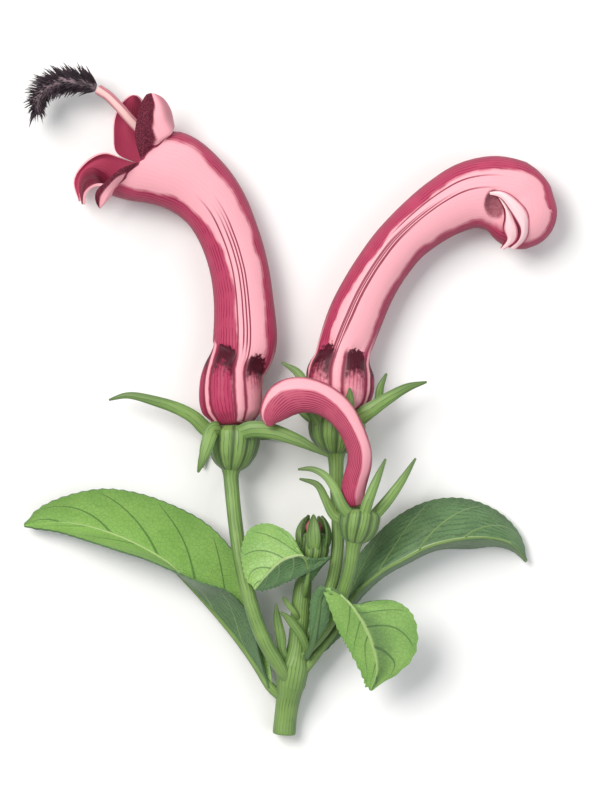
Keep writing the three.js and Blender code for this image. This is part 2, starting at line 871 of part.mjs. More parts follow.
function bristle(route, u, angle, random) {
  const frame = frameAt(route, u);
  const size = route.sizes.getPoint(u);
  const out = frame.side.clone().multiplyScalar(Math.cos(angle)).addScaledVector(frame.up, Math.sin(angle));
  const inner = Math.max(0, Math.cos(angle));
  const full = THREE.MathUtils.lerp(BRISTLE_LONG, BRISTLE_SHORT, inner);
  const length = full * (BRISTLE_LEAST_LENGTH + BRISTLE_LENGTH_SPREAD * random());
  const tipLean = BRUSH_TIP_LEAN * Math.max(0, u - BRUSH_TIP_FROM);
  const lean = BRISTLE_LEAN + BRISTLE_LEAN_SPREAD * random() + tipLean;
  const way = out.clone().addScaledVector(frame.ahead, lean).normalize();
  const root = frame.place.clone().addScaledVector(out, size.x - BRISTLE_SUNK);
  const tip = root.clone().addScaledVector(way, length);
  const across = way.clone().cross(frame.ahead).normalize();
  const other = way.clone().cross(across).normalize();
  const corners = [0, 1, 2].map((corner) => {
    const turn = (2 * Math.PI * corner) / 3;
    return root
      .clone()
      .addScaledVector(across, BRISTLE_ROOT * Math.cos(turn))
      .addScaledVector(other, BRISTLE_ROOT * Math.sin(turn));
  });
  const [a, b, c] = corners;
  return geometryOf([a, b, tip, b, c, tip, c, a, tip, a, c, b]);
}

// Ribbed seed case under the closed flower, with its five sepals
function makeClosedCalyx() {
  const cup = [
    [67.2, 69.2, 6.5, 1.8, 1.8],
    [67.2, 70.2, 6.5, 3.6, 3.4],
    [67.3, 72.4, 6.4, 5.2, 4.9],
    [67.4, 74.8, 6.3, 5.6, 5.3],
    [67.6, 76.6, 6.3, 5.2, 5.0],
    [67.7, 77.5, 6.3, 4.1, 3.9],
  ];
  const sepals = [
    [
      [64.4, 75.4, 9.6, 1.4, 0.6],
      [62.2, 78.6, 11.3, 1.3, 0.5],
      [61.0, 82.4, 11.4, 1.1, 0.42],
      [59.6, 85.4, 10.6, 0.8, 0.38],
      [56.3, 87.5, 9.6, 0.15, 0.3],
    ],
    [
      [70.2, 75.6, 9.2, 1.4, 0.6],
      [73.4, 77.6, 10.2, 1.5, 0.5],
      [77.0, 80.0, 10.3, 1.2, 0.42],
      [81.4, 82.5, 9.8, 0.8, 0.38],
      [85.3, 83.6, 9.1, 0.15, 0.3],
    ],
    [
      [72.0, 75.8, 6.6, 1.1, 0.6],
      [75.4, 78.8, 7.0, 0.85, 0.45],
      [76.0, 82.4, 7.4, 0.7, 0.38],
      [77.3, 85.3, 7.3, 0.15, 0.3],
    ],
    [
      [68.6, 75.4, 10.8, 1.2, 0.6],
      [69.6, 78.4, 12.1, 1.15, 0.45],
      [69.9, 80.6, 12.7, 0.7, 0.36],
      [69.9, 82.4, 12.9, 0.15, 0.3],
    ],
    [
      [64.2, 75.4, 3.8, 1.3, 0.6],
      [61.0, 77.6, 2.9, 1.1, 0.45],
      [58.4, 80.4, 2.3, 0.75, 0.38],
      [56.8, 83.2, 2.0, 0.15, 0.3],
    ],
  ];
  const body = tube(cup, { steps: 8, sides: FLOWER_SIDES, shape: ribbed });
  return makeMesh("calyx_closed_flower", joined([body, ...sepals.map(sepal)]), colours.calyx, 0.55);
}

// Corolla that is still shut: ribbed base, bent tube, hooded tip with its parting lips
function makeClosedCorolla() {
  const rows = [
    [67.7, 78.1, 6.3, 4.2, 4.0],
    [67.8, 79.6, 6.2, 6.0, 5.4],
    [67.9, 82.4, 6.1, 6.75, 5.9],
    [68.0, 85.4, 6.0, 6.7, 5.85],
    [68.5, 88.2, 5.7, 5.8, 5.6],
    [69.1, 91.0, 5.4, 5.45, 5.4],
    [71.0, 96.4, 5.2, 5.55, 5.4],
    [73.6, 102.0, 5.1, 5.3, 5.4],
    [76.5, 106.8, 5.1, 5.15, 5.4],
    [80.2, 111.6, 5.1, 5.15, 5.4],
    [84.5, 115.5, 5.2, 5.5, 5.4],
    [89.4, 118.9, 5.3, 6.1, 5.5],
    [94.4, 121.1, 5.5, 6.9, 5.6],
    [99.2, 121.3, 5.6, 7.6, 5.7],
    [103.4, 120.6, 5.7, 7.3, 5.6],
    [106.6, 119.4, 5.8, 5.9, 4.8],
    [108.8, 118.4, 5.9, 4.3, 3.4],
  ];
  const outerLip = {
    left: [
      [98.0, 121.0, 11.0],
      [100.0, 120.2, 11.7],
      [101.6, 118.0, 12.1],
      [102.8, 116.0, 12.2],
      [103.8, 114.0, 11.9],
      [103.4, 112.0, 11.0],
      [101.8, 110.5, 9.9],
    ],
    middle: [
      [97.9, 121.2, 11.1],
      [99.9, 121.0, 11.9],
      [101.8, 119.4, 12.5],
      [103.4, 117.6, 12.6],
      [104.6, 115.4, 12.2],
      [104.4, 112.6, 11.2],
      [102.3, 110.3, 9.9],
    ],
    right: [
      [97.8, 121.4, 11.0],
      [99.6, 121.8, 11.5],
      [101.6, 121.2, 11.7],
      [103.6, 119.6, 11.7],
      [105.4, 117.4, 11.4],
      [105.6, 114.6, 10.9],
      [105.2, 112.2, 10.2],
      [102.9, 110.1, 9.6],
    ],
  };
  const innerLip = {
    left: [
      [99.2, 120.6, 11.1],
      [100.4, 119.0, 11.6],
      [100.8, 116.4, 11.7],
      [100.4, 114.2, 11.2],
      [101.2, 112.2, 10.4],
      [100.0, 110.3, 9.6],
    ],
    middle: [
      [99.4, 120.5, 11.1],
      [100.9, 118.6, 11.7],
      [101.7, 116.2, 11.9],
      [102.0, 113.8, 11.4],
      [102.1, 112.0, 10.5],
      [100.3, 110.2, 9.6],
    ],
    right: [
      [99.6, 120.4, 11.0],
      [101.5, 118.4, 11.5],
      [102.7, 116.2, 11.6],
      [103.6, 113.8, 11.2],
      [103.2, 111.8, 10.3],
      [100.7, 110.1, 9.5],
    ],
  };
  const body = solidOf(tube(rows, { steps: 30, sides: FLOWER_SIDES, shape: pouched(0.27) }));
  const hood = solidOf(ellipsoid(HOOD_CENTRE, HOOD_RADII));
  const recess = solidOf(ellipsoid(HOOD_RECESS_CENTRE, HOOD_RECESS_RADII));
  const opened = body.add(hood).subtract(recess);
  const options = { steps: 9, thickness: LOBE_THICKNESS, shares: [] };
  const lips = [outerLip, innerLip].map((rails) => solidOf(blade(rails, options)));
  const whole = lips.reduce((sum, lip) => sum.add(lip), opened);
  return makeMesh("corolla_closed", geometryFrom(whole), colours.corolla, 0.45);
}

function makeYoungCalyx() {
  const cup = [
    [70.8, 51.5, 13.8, 1.5, 1.5],
    [71.0, 52.6, 13.9, 2.9, 2.8],
    [71.5, 54.8, 14.0, 3.95, 3.8],
    [71.9, 57.0, 14.0, 4.05, 3.9],
    [72.0, 58.1, 14.0, 3.2, 3.1],
  ];
  const sepals = [
    [
      [70.4, 56.6, 16.4, 1.1, 0.6],
      [68.4, 58.9, 16.8, 1.05, 0.45],
      [67.0, 62.2, 16.4, 0.85, 0.4],
      [65.0, 65.0, 15.6, 0.7, 0.38],
      [62.4, 66.3, 14.8, 0.5, 0.34],
      [59.6, 66.2, 14.2, 0.15, 0.3],
    ],
    [
      [69.2, 55.8, 13.4, 1.1, 0.6],
      [66.8, 57.0, 13.2, 0.95, 0.45],
      [65.2, 60.0, 13.2, 0.8, 0.4],
      [63.4, 63.2, 12.9, 0.6, 0.36],
      [59.9, 64.3, 12.4, 0.15, 0.3],
    ],
    [
      [72.6, 57.0, 16.8, 1.1, 0.6],
      [73.6, 60.2, 17.6, 1.0, 0.45],
      [75.2, 64.2, 17.2, 0.75, 0.38],
      [77.0, 68.3, 16.4, 0.15, 0.3],
    ],
    [
      [74.2, 56.4, 14.4, 1.1, 0.6],
      [77.2, 59.8, 14.8, 1.05, 0.45],
      [80.2, 63.9, 14.6, 0.75, 0.38],
      [83.0, 68.4, 13.9, 0.15, 0.3],
    ],
    [
      [71.6, 56.8, 11.6, 1.1, 0.6],
      [70.8, 60.0, 10.6, 0.95, 0.45],
      [69.8, 63.2, 10.2, 0.6, 0.36],
      [69.2, 65.8, 10.2, 0.15, 0.3],
    ],
  ];
  const body = tube(cup, { steps: 8, sides: FLOWER_SIDES, shape: ribbed });
  return makeMesh("calyx_young_bud", joined([body, ...sepals.map(sepal)]), colours.calyx, 0.55);
}

// Hooked young corolla, flattened from side to side
function makeYoungCorolla() {
  const rows = [
    [70.75, 59.15, 14.0, 1.9, 1.8],
    [70.4, 61.0, 14.3, 2.5, 2.3],
    [71.0, 64.2, 14.8, 2.5, 2.3],
    [71.8, 67.2, 15.2, 2.5, 2.3],
    [71.8, 69.8, 15.5, 2.45, 2.3],
    [70.9, 72.6, 15.7, 2.5, 2.3],
    [69.6, 75.3, 15.8, 2.6, 2.3],
    [67.4, 78.1, 15.8, 2.95, 2.3],
    [64.3, 80.2, 15.7, 3.25, 2.35],
    [60.7, 81.0, 15.5, 3.6, 2.4],
    [57.4, 80.4, 15.2, 3.8, 2.4],
    [55.0, 78.1, 14.9, 3.1, 2.1],
    [54.1, 76.3, 14.7, 2.1, 1.5],
    [53.9, 75.2, 14.6, 0.9, 0.7],
  ];
  const geometry = tube(rows, { steps: 24, sides: 14 });
  return makeMesh("corolla_young_bud", geometry, colours.corolla, 0.45);
}

// Small bud whose narrow sepals stand close round it
function makeSmallBud() {
  const middle = [62.7, 51.6, 7.5];
  const cup = [
    [62.3, 47.0, 7.4, 1.2, 1.2],
    [62.4, 47.9, 7.4, 2.4, 2.3],
    [62.6, 49.8, 7.4, 3.1, 2.8],
    [62.7, 52.2, 7.5, 3.0, 2.7],
    [62.7, 53.3, 7.5, 2.2, 2.0],
  ];
  const reach = [4.4, 4.6, 4.1, 4.5, 4.3];
  const sepals = reach.map((length, i) => {
    const angle = (2 * Math.PI * (i + 0.25)) / 5;
    const roll = THREE.MathUtils.radToDeg(angle) + 90;
    const stations = [
      [2.4, 0, 1.0, 0.5],
      [3.0, 0.55, 0.95, 0.4],
      [1.8, 1.2, 0.2, 0.3],
    ];
    return stations.map(([out, share, half, thick]) => [
      middle[0] + out * Math.cos(angle),
      middle[1] + length * share,
      middle[2] + out * Math.sin(angle),
      half,
      thick,
      0,
      -roll,
    ]);
  });
  const body = tube(cup, { steps: 6, sides: FLOWER_SIDES, shape: ribbed });
  const calyx = joined([body, ...sepals.map((rows) => tube(rows, { steps: 5, sides: SEPAL_SIDES }))]);
  const bud = [
    [62.7, 53.65, 7.5, 1.5, 1.5],
    [62.7, 54.5, 7.5, 1.8, 1.75],
    [62.7, 55.6, 7.5, 1.25, 1.25],
    [62.7, 56.1, 7.5, 0.5, 0.5],
  ];
  return [
    makeMesh("calyx_small_bud", calyx, colours.calyx, 0.55),
    makeMesh("corolla_small_bud", tube(bud, { steps: 6, sides: 10 }), colours.corolla, 0.45),
  ];
}

const sprig = new THREE.Group();
sprig.name = "flowering_sprig";
sprig.add(
  makeStem(),
  makeOpenFlowerStalk(),
  makeClosedFlowerStalk(),
  makeYoungBudStalk(),
  makeSmallBudStalk(),
  makeLeftLeaf(),
  makeRightLeaf(),
  makeBackLeaf(),
  makeFrontLeaf(),
  ...makeAxilLeaves(),
  makeOpenCalyx(),
  makeOpenCorolla(),
  makeStamenColumn(),
  makeAntherBrush(),
  makeClosedCalyx(),
  makeClosedCorolla(),
  makeYoungCalyx(),
  makeYoungCorolla(),
  ...makeSmallBud(),
);

export default sprig;
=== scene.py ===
"""One cut flowering sprig of Centropogon fastuosus, lying on a pale floor under soft light."""

import logging
import math
import random
from collections.abc import Callable, Sequence
from dataclasses import dataclass
from enum import Enum

import bmesh
import bpy
import numpy as np
from mathutils import Matrix, Quaternion, Vector


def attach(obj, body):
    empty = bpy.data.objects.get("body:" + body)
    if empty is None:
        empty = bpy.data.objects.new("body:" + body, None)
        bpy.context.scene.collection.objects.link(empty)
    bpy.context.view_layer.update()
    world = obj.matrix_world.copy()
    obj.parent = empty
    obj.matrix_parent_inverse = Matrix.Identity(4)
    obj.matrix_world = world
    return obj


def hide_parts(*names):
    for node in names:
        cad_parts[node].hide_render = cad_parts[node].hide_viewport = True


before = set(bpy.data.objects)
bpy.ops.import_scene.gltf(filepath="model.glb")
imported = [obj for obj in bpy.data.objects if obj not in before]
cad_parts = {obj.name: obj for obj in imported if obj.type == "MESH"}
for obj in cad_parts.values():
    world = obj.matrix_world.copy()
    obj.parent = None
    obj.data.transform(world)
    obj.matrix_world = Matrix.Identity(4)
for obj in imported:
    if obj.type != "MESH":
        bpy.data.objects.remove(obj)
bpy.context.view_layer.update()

log = logging.getLogger("sprig")

Row = tuple[float, ...]

METRES = 0.001
SHEET_MIDDLE = Vector((58.1, 79.8, 0.0))
PICTURE_MIDDLE = Vector((60.0, 80.0, 6.5))
PICTURE_HEIGHT = 160.0
RIBS = 10
LOBES = 5


class Slot(Enum):
    """The record's material slots."""

    STEM = "stem"
    STALK = "stalk"
    LEAF = "leaf"
    LEAF_SMALL = "leaf_small"
    CALYX = "calyx"
    COROLLA_OPEN = "corolla_open"
    COROLLA_CLOSED = "corolla_closed"
    COROLLA_BUD = "corolla_bud"
    STAMEN_COLUMN = "stamen_column"
    ANTHER_BRUSH = "anther_brush"


class Mark(Enum):
    """Names of the values that every vertex carries for the finishes."""

    ALONG = "along"
    ACROSS = "across"
    OVER = "over"
    # Hollow: how much painted shade a vertex carries, in the recess between the lips and on the shaded parts of the
    # lobes.
    HOLLOW = "hollow"


def sheet(row: Row) -> Vector:
    """Place on the layout sheet of a row, in millimetres of the object's own frame."""
    return Vector(row[:3]) - SHEET_MIDDLE


def ramp(value: float, low: float, high: float) -> float:
    """Smooth rise from 0 at low to 1 at high."""
    share = min(1.0, max(0.0, (value - low) / (high - low)))
    return share * share * (3.0 - 2.0 * share)


def smooth_place(points: Sequence[Vector], t: float) -> Vector:
    """A place on the rounded line through points.

    Args:
        points: The places that the line runs through.
        t: Share of the line, from 0 to 1, with the points evenly spaced.

    Returns:
        The place, rounded without overshoot between uneven points.
    """
    last = len(points) - 1
    index = min(int(t * last), last - 1)
    weight = t * last - index
    near, far = points[index], points[index + 1]
    before = points[index - 1] if index > 0 else near * 2.0 - far
    after = points[index + 2] if index + 2 <= last else far * 2.0 - near
    gap_a = max((near - before).length, 1e-6) ** 0.5
    gap_b = max((far - near).length, 1e-6) ** 0.5
    gap_c = max((after - far).length, 1e-6) ** 0.5
    leave = (near - before) / gap_a - (far - before) / (gap_a + gap_b) + (far - near) / gap_b
    reach = (far - near) / gap_b - (after - near) / (gap_b + gap_c) + (after - far) / gap_c
    leave, reach = leave * gap_b, reach * gap_b
    square = -3.0 * near + 3.0 * far - 2.0 * leave - reach
    cube = 2.0 * near - 2.0 * far + leave + reach
    return near + leave * weight + square * weight**2 + cube * weight**3


@dataclass(frozen=True)
class RingPlace:
    """Where one ring of a tube stands, how it is turned and how large it is."""

    centre: Vector
    side: Vector
    up: Vector
    ahead: Vector
    half_width: float
    half_height: float

    def basis(self) -> Matrix:
        """The ring's three directions as the columns of a matrix."""
        return Matrix((self.side, self.up, self.ahead)).transposed()

    def sizes(self) -> Vector:
        """Half width, half height and 1."""
        return Vector((self.half_width, self.half_height, 1.0))


class Route:
    """A rounded line through rows of place, half width, half height, slant and roll."""

    def __init__(self, rows: Sequence[Row]) -> None:
        """Reads the rows.

        Args:
            rows: x, y, z on the sheet, then the optional sizes, slant and roll in degrees.
        """
        self.points = [sheet(row) for row in rows]
        filled = [tuple(row) + (0.0,) * (7 - len(row)) for row in rows]
        self.spans = [Vector(row[3:6]) for row in filled]
        self.rolls = [row[6] for row in filled]
        self.lengths = [0.0]
        for i in range(200):
            step = self.place((i + 1) / 200) - self.place(i / 200)
            self.lengths.append(self.lengths[-1] + step.length)

    def place(self, t: float) -> Vector:
        """The place at share t of the rows."""
        return smooth_place(self.points, t)

    def ahead(self, t: float) -> Vector:
        """The direction of travel at share t of the rows."""
        low, high = max(0.0, t - 1e-4), min(1.0, t + 1e-4)
        return (self.place(high) - self.place(low)).normalized()

    def even(self, u: float) -> float:
        """Share t of the rows that lies at share u of the length."""
        goal = u * self.lengths[-1]
        for i in range(200):
            if self.lengths[i + 1] >= goal:
                part = (goal - self.lengths[i]) / max(self.lengths[i + 1] - self.lengths[i], 1e-9)
                return min(1.0, (i + part) / 200)
        return 1.0

    def ring(self, t: float) -> RingPlace:
        """The ring at share t, its side level, then rolled and slanted as the rows say."""
        ahead = self.ahead(t)
        side = Vector((0.0, 0.0, 1.0)).cross(ahead).normalized()
        up = ahead.cross(side)
        index = t * (len(self.rolls) - 1)
        low = min(int(index), len(self.rolls) - 2)
        roll = self.rolls[low] + (self.rolls[low + 1] - self.rolls[low]) * (index - low)
        turn_by = Quaternion(ahead, math.radians(roll))
        side, up = turn_by @ side, turn_by @ up
        span = smooth_place(self.spans, t)
        lean = side * span.x + ahead * span.z
        side = lean.normalized()
        return RingPlace(self.place(t), side, up, side.cross(up), lean.length, span.y)


def deselect_all() -> None:
    """Leaves edit mode and deselects every object."""
    if bpy.context.object and bpy.context.object.mode != "OBJECT":
        bpy.ops.object.mode_set(mode="OBJECT")
    bpy.ops.object.select_all(action="DESELECT")


def enter_edit(piece: bpy.types.Object) -> None:
    """Opens a piece in edit mode with vertex selection."""
    deselect_all()
    piece.select_set(True)
    bpy.context.view_layer.objects.active = piece
    bpy.ops.object.mode_set(mode="EDIT")
    bpy.context.tool_settings.mesh_select_mode = (True, False, False)


def pick(piece: bpy.types.Object, wanted: Sequence[int]) -> None:
    """Selects vertices by number, and the edges and faces between them."""
    bpy.ops.mesh.select_all(action="DESELECT")
    mesh = bmesh.from_edit_mesh(piece.data)
    mesh.verts.ensure_lookup_table()
    for index in wanted:
        mesh.verts[index].select_set(True)
    mesh.select_flush(True)
    bmesh.update_edit_mesh(piece.data, loop_triangles=False, destructive=False)


def picked(piece: bpy.types.Object) -> list[int]:
    """Numbers of the selected vertices."""
    mesh = bmesh.from_edit_mesh(piece.data)
    return [index for index, vertex in enumerate(mesh.verts) if vertex.select]


def turn(axis: Vector, angle: float, centre: Vector) -> None:
    """Turns the selection.

    Args:
        axis: Unit direction to turn about.
        angle: Angle in radians, by the right hand.
        centre: A place on the axis.
    """
    if abs(angle) < 1e-7:
        return
    across = axis.orthogonal().normalized()
    basis = Matrix((across, axis.cross(across), axis)).transposed()
    bpy.ops.transform.rotate(
        value=angle,
        orient_axis="Z",
        orient_type="GLOBAL",
        orient_matrix=basis,
        orient_matrix_type="GLOBAL",
        constraint_axis=(False, False, True),
        center_override=centre,
    )


def stretch(scale: Vector, basis: Matrix, centre: Vector) -> None:
    """Scales the selection along the columns of basis, about a centre."""
    bpy.ops.transform.resize(
        value=scale,
        orient_type="GLOBAL",
        orient_matrix=basis,
        orient_matrix_type="GLOBAL",
        center_override=centre,
    )


def extrude_here() -> None:
    """Extrudes the selection without moving it."""
    bpy.ops.mesh.extrude_region_move(TRANSFORM_OT_translate={"value": (0, 0, 0)})


def pull_to(piece: bpy.types.Object, index: int, goal: Vector) -> None:
    """Pulls one vertex to its place."""
    pick(piece, [index])
    here = bmesh.from_edit_mesh(piece.data).verts[index].co
    bpy.ops.transform.translate(value=goal - here)


def write_marks(piece: bpy.types.Object, marks: dict[int, Row]) -> None:
    """Stores along, across, over and hollow on the vertices of a piece.

    Args:
        piece: The piece, in object mode.
        marks: The values of each vertex number; hollow may be left out.
    """
    for place, mark in enumerate(Mark):
        layer = piece.data.attributes.new(mark.value, "FLOAT", "POINT")
        for index, values in marks.items():
            layer.data[index].value = values[place] if place < len(values) else 0.0


def apply_modifier(piece: bpy.types.Object, kind: str, **settings: object) -> None:
    """Adds a modifier with its settings and applies it."""
    deselect_all()
    piece.select_set(True)
    bpy.context.view_layer.objects.active = piece
    modifier = piece.modifiers.new(kind.title(), kind)
    for name, value in settings.items():
        setattr(modifier, name, value)
    bpy.ops.object.modifier_apply(modifier=modifier.name)


def refine(piece: bpy.types.Object, levels: int) -> None:
    """Rounds a piece with subdivision."""
    apply_modifier(piece, "SUBSURF", levels=levels, render_levels=levels)


def rest_on_floor(piece: bpy.types.Object) -> None:
    """Flattens what hangs below the floor onto it."""
    enter_edit(piece)
    mesh = bmesh.from_edit_mesh(piece.data)
    low = [vertex.index for vertex in mesh.verts if vertex.co.z < 0.0]
    if low:
        pick(piece, low)
        stretch(Vector((1.0, 1.0, 0.0)), Matrix.Identity(3), Vector())
    bpy.ops.object.mode_set(mode="OBJECT")


def join(name: str, parts: Sequence[bpy.types.Object]) -> bpy.types.Object:
    """Joins parts into the first and names it."""
    deselect_all()
    for part in parts:
        part.select_set(True)
    bpy.context.view_layer.objects.active = parts[0]
    if len(parts) > 1:
        bpy.ops.object.join()
    whole = bpy.context.view_layer.objects.active
    whole.name = whole.data.name = name
    return whole


class Loft:
    """A tube grown ring by ring along a route, in millimetres."""

    def __init__(self, name: str, rows: Sequence[Row], rings: int, sides: int) -> None:
        """Grows the tube, open at both ends, and leaves it in edit mode.

        Args:
            name: Name of the new piece.
            rows: Rows of its route.
            rings: Number of steps between rings.
            sides: Vertices of a ring, the first on the ring's side.
        """
        self.route = Route(rows)
        self.sides = sides
        self.shares = [i / rings for i in range(rings + 1)]
        self.places = [self.route.ring(share) for share in self.shares]
        self.more_marks: dict[int, tuple[float, float, float]] = {}
        deselect_all()
        bpy.ops.mesh.primitive_circle_add(vertices=sides, radius=1.0)
        self.piece = bpy.context.object
        self.piece.name = self.piece.data.name = name
        enter_edit(self.piece)
        bpy.ops.mesh.select_all(action="SELECT")
        self._first_ring()
        for before, after in zip(self.places, self.places[1:]):
            self._next_ring(before, after)

    def _first_ring(self) -> None:
        """Sets the circle in the place of the first ring."""
        first = self.places[0]
        turn(Vector((0.0, 0.0, 1.0)), -math.pi / 2, Vector())
        stretch(first.sizes(), Matrix.Identity(3), Vector())
        axis, angle = first.basis().to_quaternion().to_axis_angle()
        turn(axis, angle, Vector())
        bpy.ops.transform.translate(value=first.centre)

    def _next_ring(self, before: RingPlace, after: RingPlace) -> None:
        """Extrudes the last ring and scales, turns and moves it to the next place."""
        extrude_here()
        scale = Vector((after.half_width / before.half_width, after.half_height / before.half_height, 1.0))
        stretch(scale, before.basis(), before.centre)
        relative = after.basis().to_quaternion() @ before.basis().to_quaternion().inverted()
        axis, angle = relative.to_axis_angle()
        turn(axis, angle, before.centre)
        bpy.ops.transform.translate(value=after.centre - before.centre)

    def ring(self, index: int) -> list[int]:
        """Vertex numbers of one ring."""
        return [index * self.sides + side for side in range(self.sides)]

    def swell(self, gain: Callable[[float, float], float], repeats: int) -> None:
        """Raises and sinks the tube's surface in a pattern that repeats round it.

        Args:
            gain: Share by which the surface stands out at a share of the rows and an angle.
            repeats: Number of repeats round the tube.
        """
        every = self.sides // repeats
        for index, (share, place) in enumerate(zip(self.shares, self.places)):
            ring = self.ring(index)
            for first in range(every):
                out = gain(share, 2.0 * math.pi * first / self.sides)
                if abs(out) > 1e-3:
                    pick(self.piece, ring[first::every])
                    stretch(Vector((1.0 + out, 1.0 + out, 1.0)), place.basis(), place.centre)

    def round_end(self, last: bool, reach: float) -> None:
        """Closes an end with a low dome.

        Args:
            last: True for the last ring, False for the first.
            reach: Height of the dome.
        """
        place = self.places[-1 if last else 0]
        way = place.ahead if last else -place.ahead
        pick(self.piece, self.ring(len(self.shares) - 1 if last else 0))
        extrude_here()
        stretch(Vector((0.7, 0.7, 1.0)), place.basis(), place.centre)
        bpy.ops.transform.translate(value=way * reach * 0.75)
        extrude_here()
        bpy.ops.transform.translate(value=way * reach * 0.25)
        bpy.ops.mesh.merge(type="CENTER")

    def cut_end(self, rim: float, depth: float) -> None:
        """Closes the first ring as a clean cut, with a narrow rim and a sunk face."""
        place = self.places[0]
        pick(self.piece, self.ring(0))
        for share, sink in ((1.0 - rim, 0.0), (0.94, depth), (0.5, depth * 0.4)):
            extrude_here()
            stretch(Vector((share, share, 1.0)), place.basis(), place.centre)
            bpy.ops.transform.translate(value=place.ahead * sink)
        extrude_here()
        bpy.ops.mesh.merge(type="CENTER")

    def finish(self, levels: int = 1, keep_open: bool = False) -> bpy.types.Object:
        """Marks the tube, flattens what hangs below the floor, and rounds it.

        Args:
            levels: Subdivision levels.
            keep_open: True where the last ring stays open.

        Returns:
            The piece, in object mode.
        """
        bpy.ops.mesh.select_all(action="SELECT")
        bpy.ops.mesh.normals_make_consistent(inside=False)
        bpy.ops.object.mode_set(mode="OBJECT")
        marks = {}
        count = len(self.shares) * self.sides
        start, end = self.places[0].centre, self.places[-1].centre
        for index, vertex in enumerate(self.piece.data.vertices):
            if index < count:
                angle = 2.0 * math.pi * (index % self.sides) / self.sides
                marks[index] = (self.shares[index // self.sides], math.cos(angle), math.sin(angle))
            else:
                near_start = (vertex.co - start).length < (vertex.co - end).length
                marks[index] = (0.0 if near_start else 1.0, 0.5, 0.5)
        marks.update(self.more_marks)
        write_marks(self.piece, marks)
        rest_on_floor(self.piece)
        if levels and not keep_open:
            refine(self.piece, levels)
        return self.piece


@dataclass(frozen=True)
class PouchedBase:
    """The swollen base of a corolla: five broad pouches, a hollow above each and a slim rib between two."""

    waist: float
    arch: float = 0.03
    half: float = 0.036
    crest: float = 0.05
    groove: float = 0.07
    sunk: float = 0.14

    def aside(self, angle: float) -> float:
        """0 on the crest of a pouch and 1 on the rib between two."""
        turns = LOBES * angle / (2.0 * math.pi) - 0.75
        return abs(turns - round(turns)) * 2.0

    def hollow(self, share: float, angle: float) -> float:
        """Depth of the hollow above a pouch, from 0 to 1."""
        aside = self.aside(angle)
        high = (share - self.waist - self.arch * (0.3 - aside * aside)) / self.half
        return math.exp(-high * high) * (1.0 - ramp(aside, 0.2, 0.72))

    def gain(self, share: float, angle: float) -> float:
        """Share by which the surface stands out."""
        aside = self.aside(angle)
        body = ramp(share, 0.0, 0.07) * (1.0 - ramp(share, self.waist - 0.04, self.waist + 0.03))
        pouch = self.crest * (1.0 - ramp(aside, 0.1, 0.7)) - self.groove * math.exp(-(((aside - 0.72) / 0.15) ** 2))
        facing = 0.3 + 0.7 * ramp(abs(math.sin(angle)), 0.2, 0.6)
        return body * pouch - self.sunk * facing * self.hollow(share, angle)


class Blade:
    """A thin sheet grown row by row from a strip of faces, in millimetres."""

    def __init__(self, name: str, grid: Sequence[Sequence[Vector]], shares: Sequence[float]) -> None:
        """Grows the sheet and leaves it in object mode.

        Args:
            name: Name of the new piece.
            grid: Rows of places, from the root to the tip.
            shares: Share of the half width at each place of a row, from -1 to 1.
        """
        columns = len(shares)
        deselect_all()
        bpy.ops.mesh.primitive_grid_add(x_subdivisions=columns - 1, y_subdivisions=1, size=2.0)
        self.piece = bpy.context.object
        self.piece.name = self.piece.data.name = name
        enter_edit(self.piece)
        rows = [list(range(columns)), list(range(columns, 2 * columns))]
        for goals, row in zip(grid, rows):
            self._lay(row, goals)
        for goals in grid[2:]:
            pick(self.piece, rows[-1])
            extrude_here()
            rows.append(picked(self.piece))
            self._lay(rows[-1], goals)
        bpy.ops.object.mode_set(mode="OBJECT")
        marks = {}
        for i, row in enumerate(rows):
            for index, share in zip(row, shares):
                marks[index] = (i / (len(rows) - 1), share, math.sqrt(max(0.0, 1.0 - share * share)))
        write_marks(self.piece, marks)

    def _lay(self, row: Sequence[int], goals: Sequence[Vector]) -> None:
        """Pulls each vertex of a row to its place."""
        for index, goal in zip(row, goals):
            pull_to(self.piece, index, goal)

    def finish(self, thickness: float, levels: int = 1, under: int = 0) -> bpy.types.Object:
        """Rounds the sheet and gives it thickness.

        Args:
            thickness: Thickness in millimetres, half of it to each side.
            levels: Subdivision levels.
            under: Steps from a face's material to that of its underside.

        Returns:
            The piece.
        """
        refine(self.piece, levels)
        apply_modifier(
            self.piece,
            "SOLIDIFY",
            thickness=thickness,
            offset=0.0,
            use_even_offset=False,
            material_offset=under,
            material_offset_rim=0,
        )
        return self.piece


@dataclass(frozen=True)
class Rails:
    """Two edge rails and the middle rail of a blade, each from root to tip, matched row by row or by length."""

    left: Sequence[Row]
    middle: Sequence[Row]
    right: Sequence[Row]
    matched: bool = False


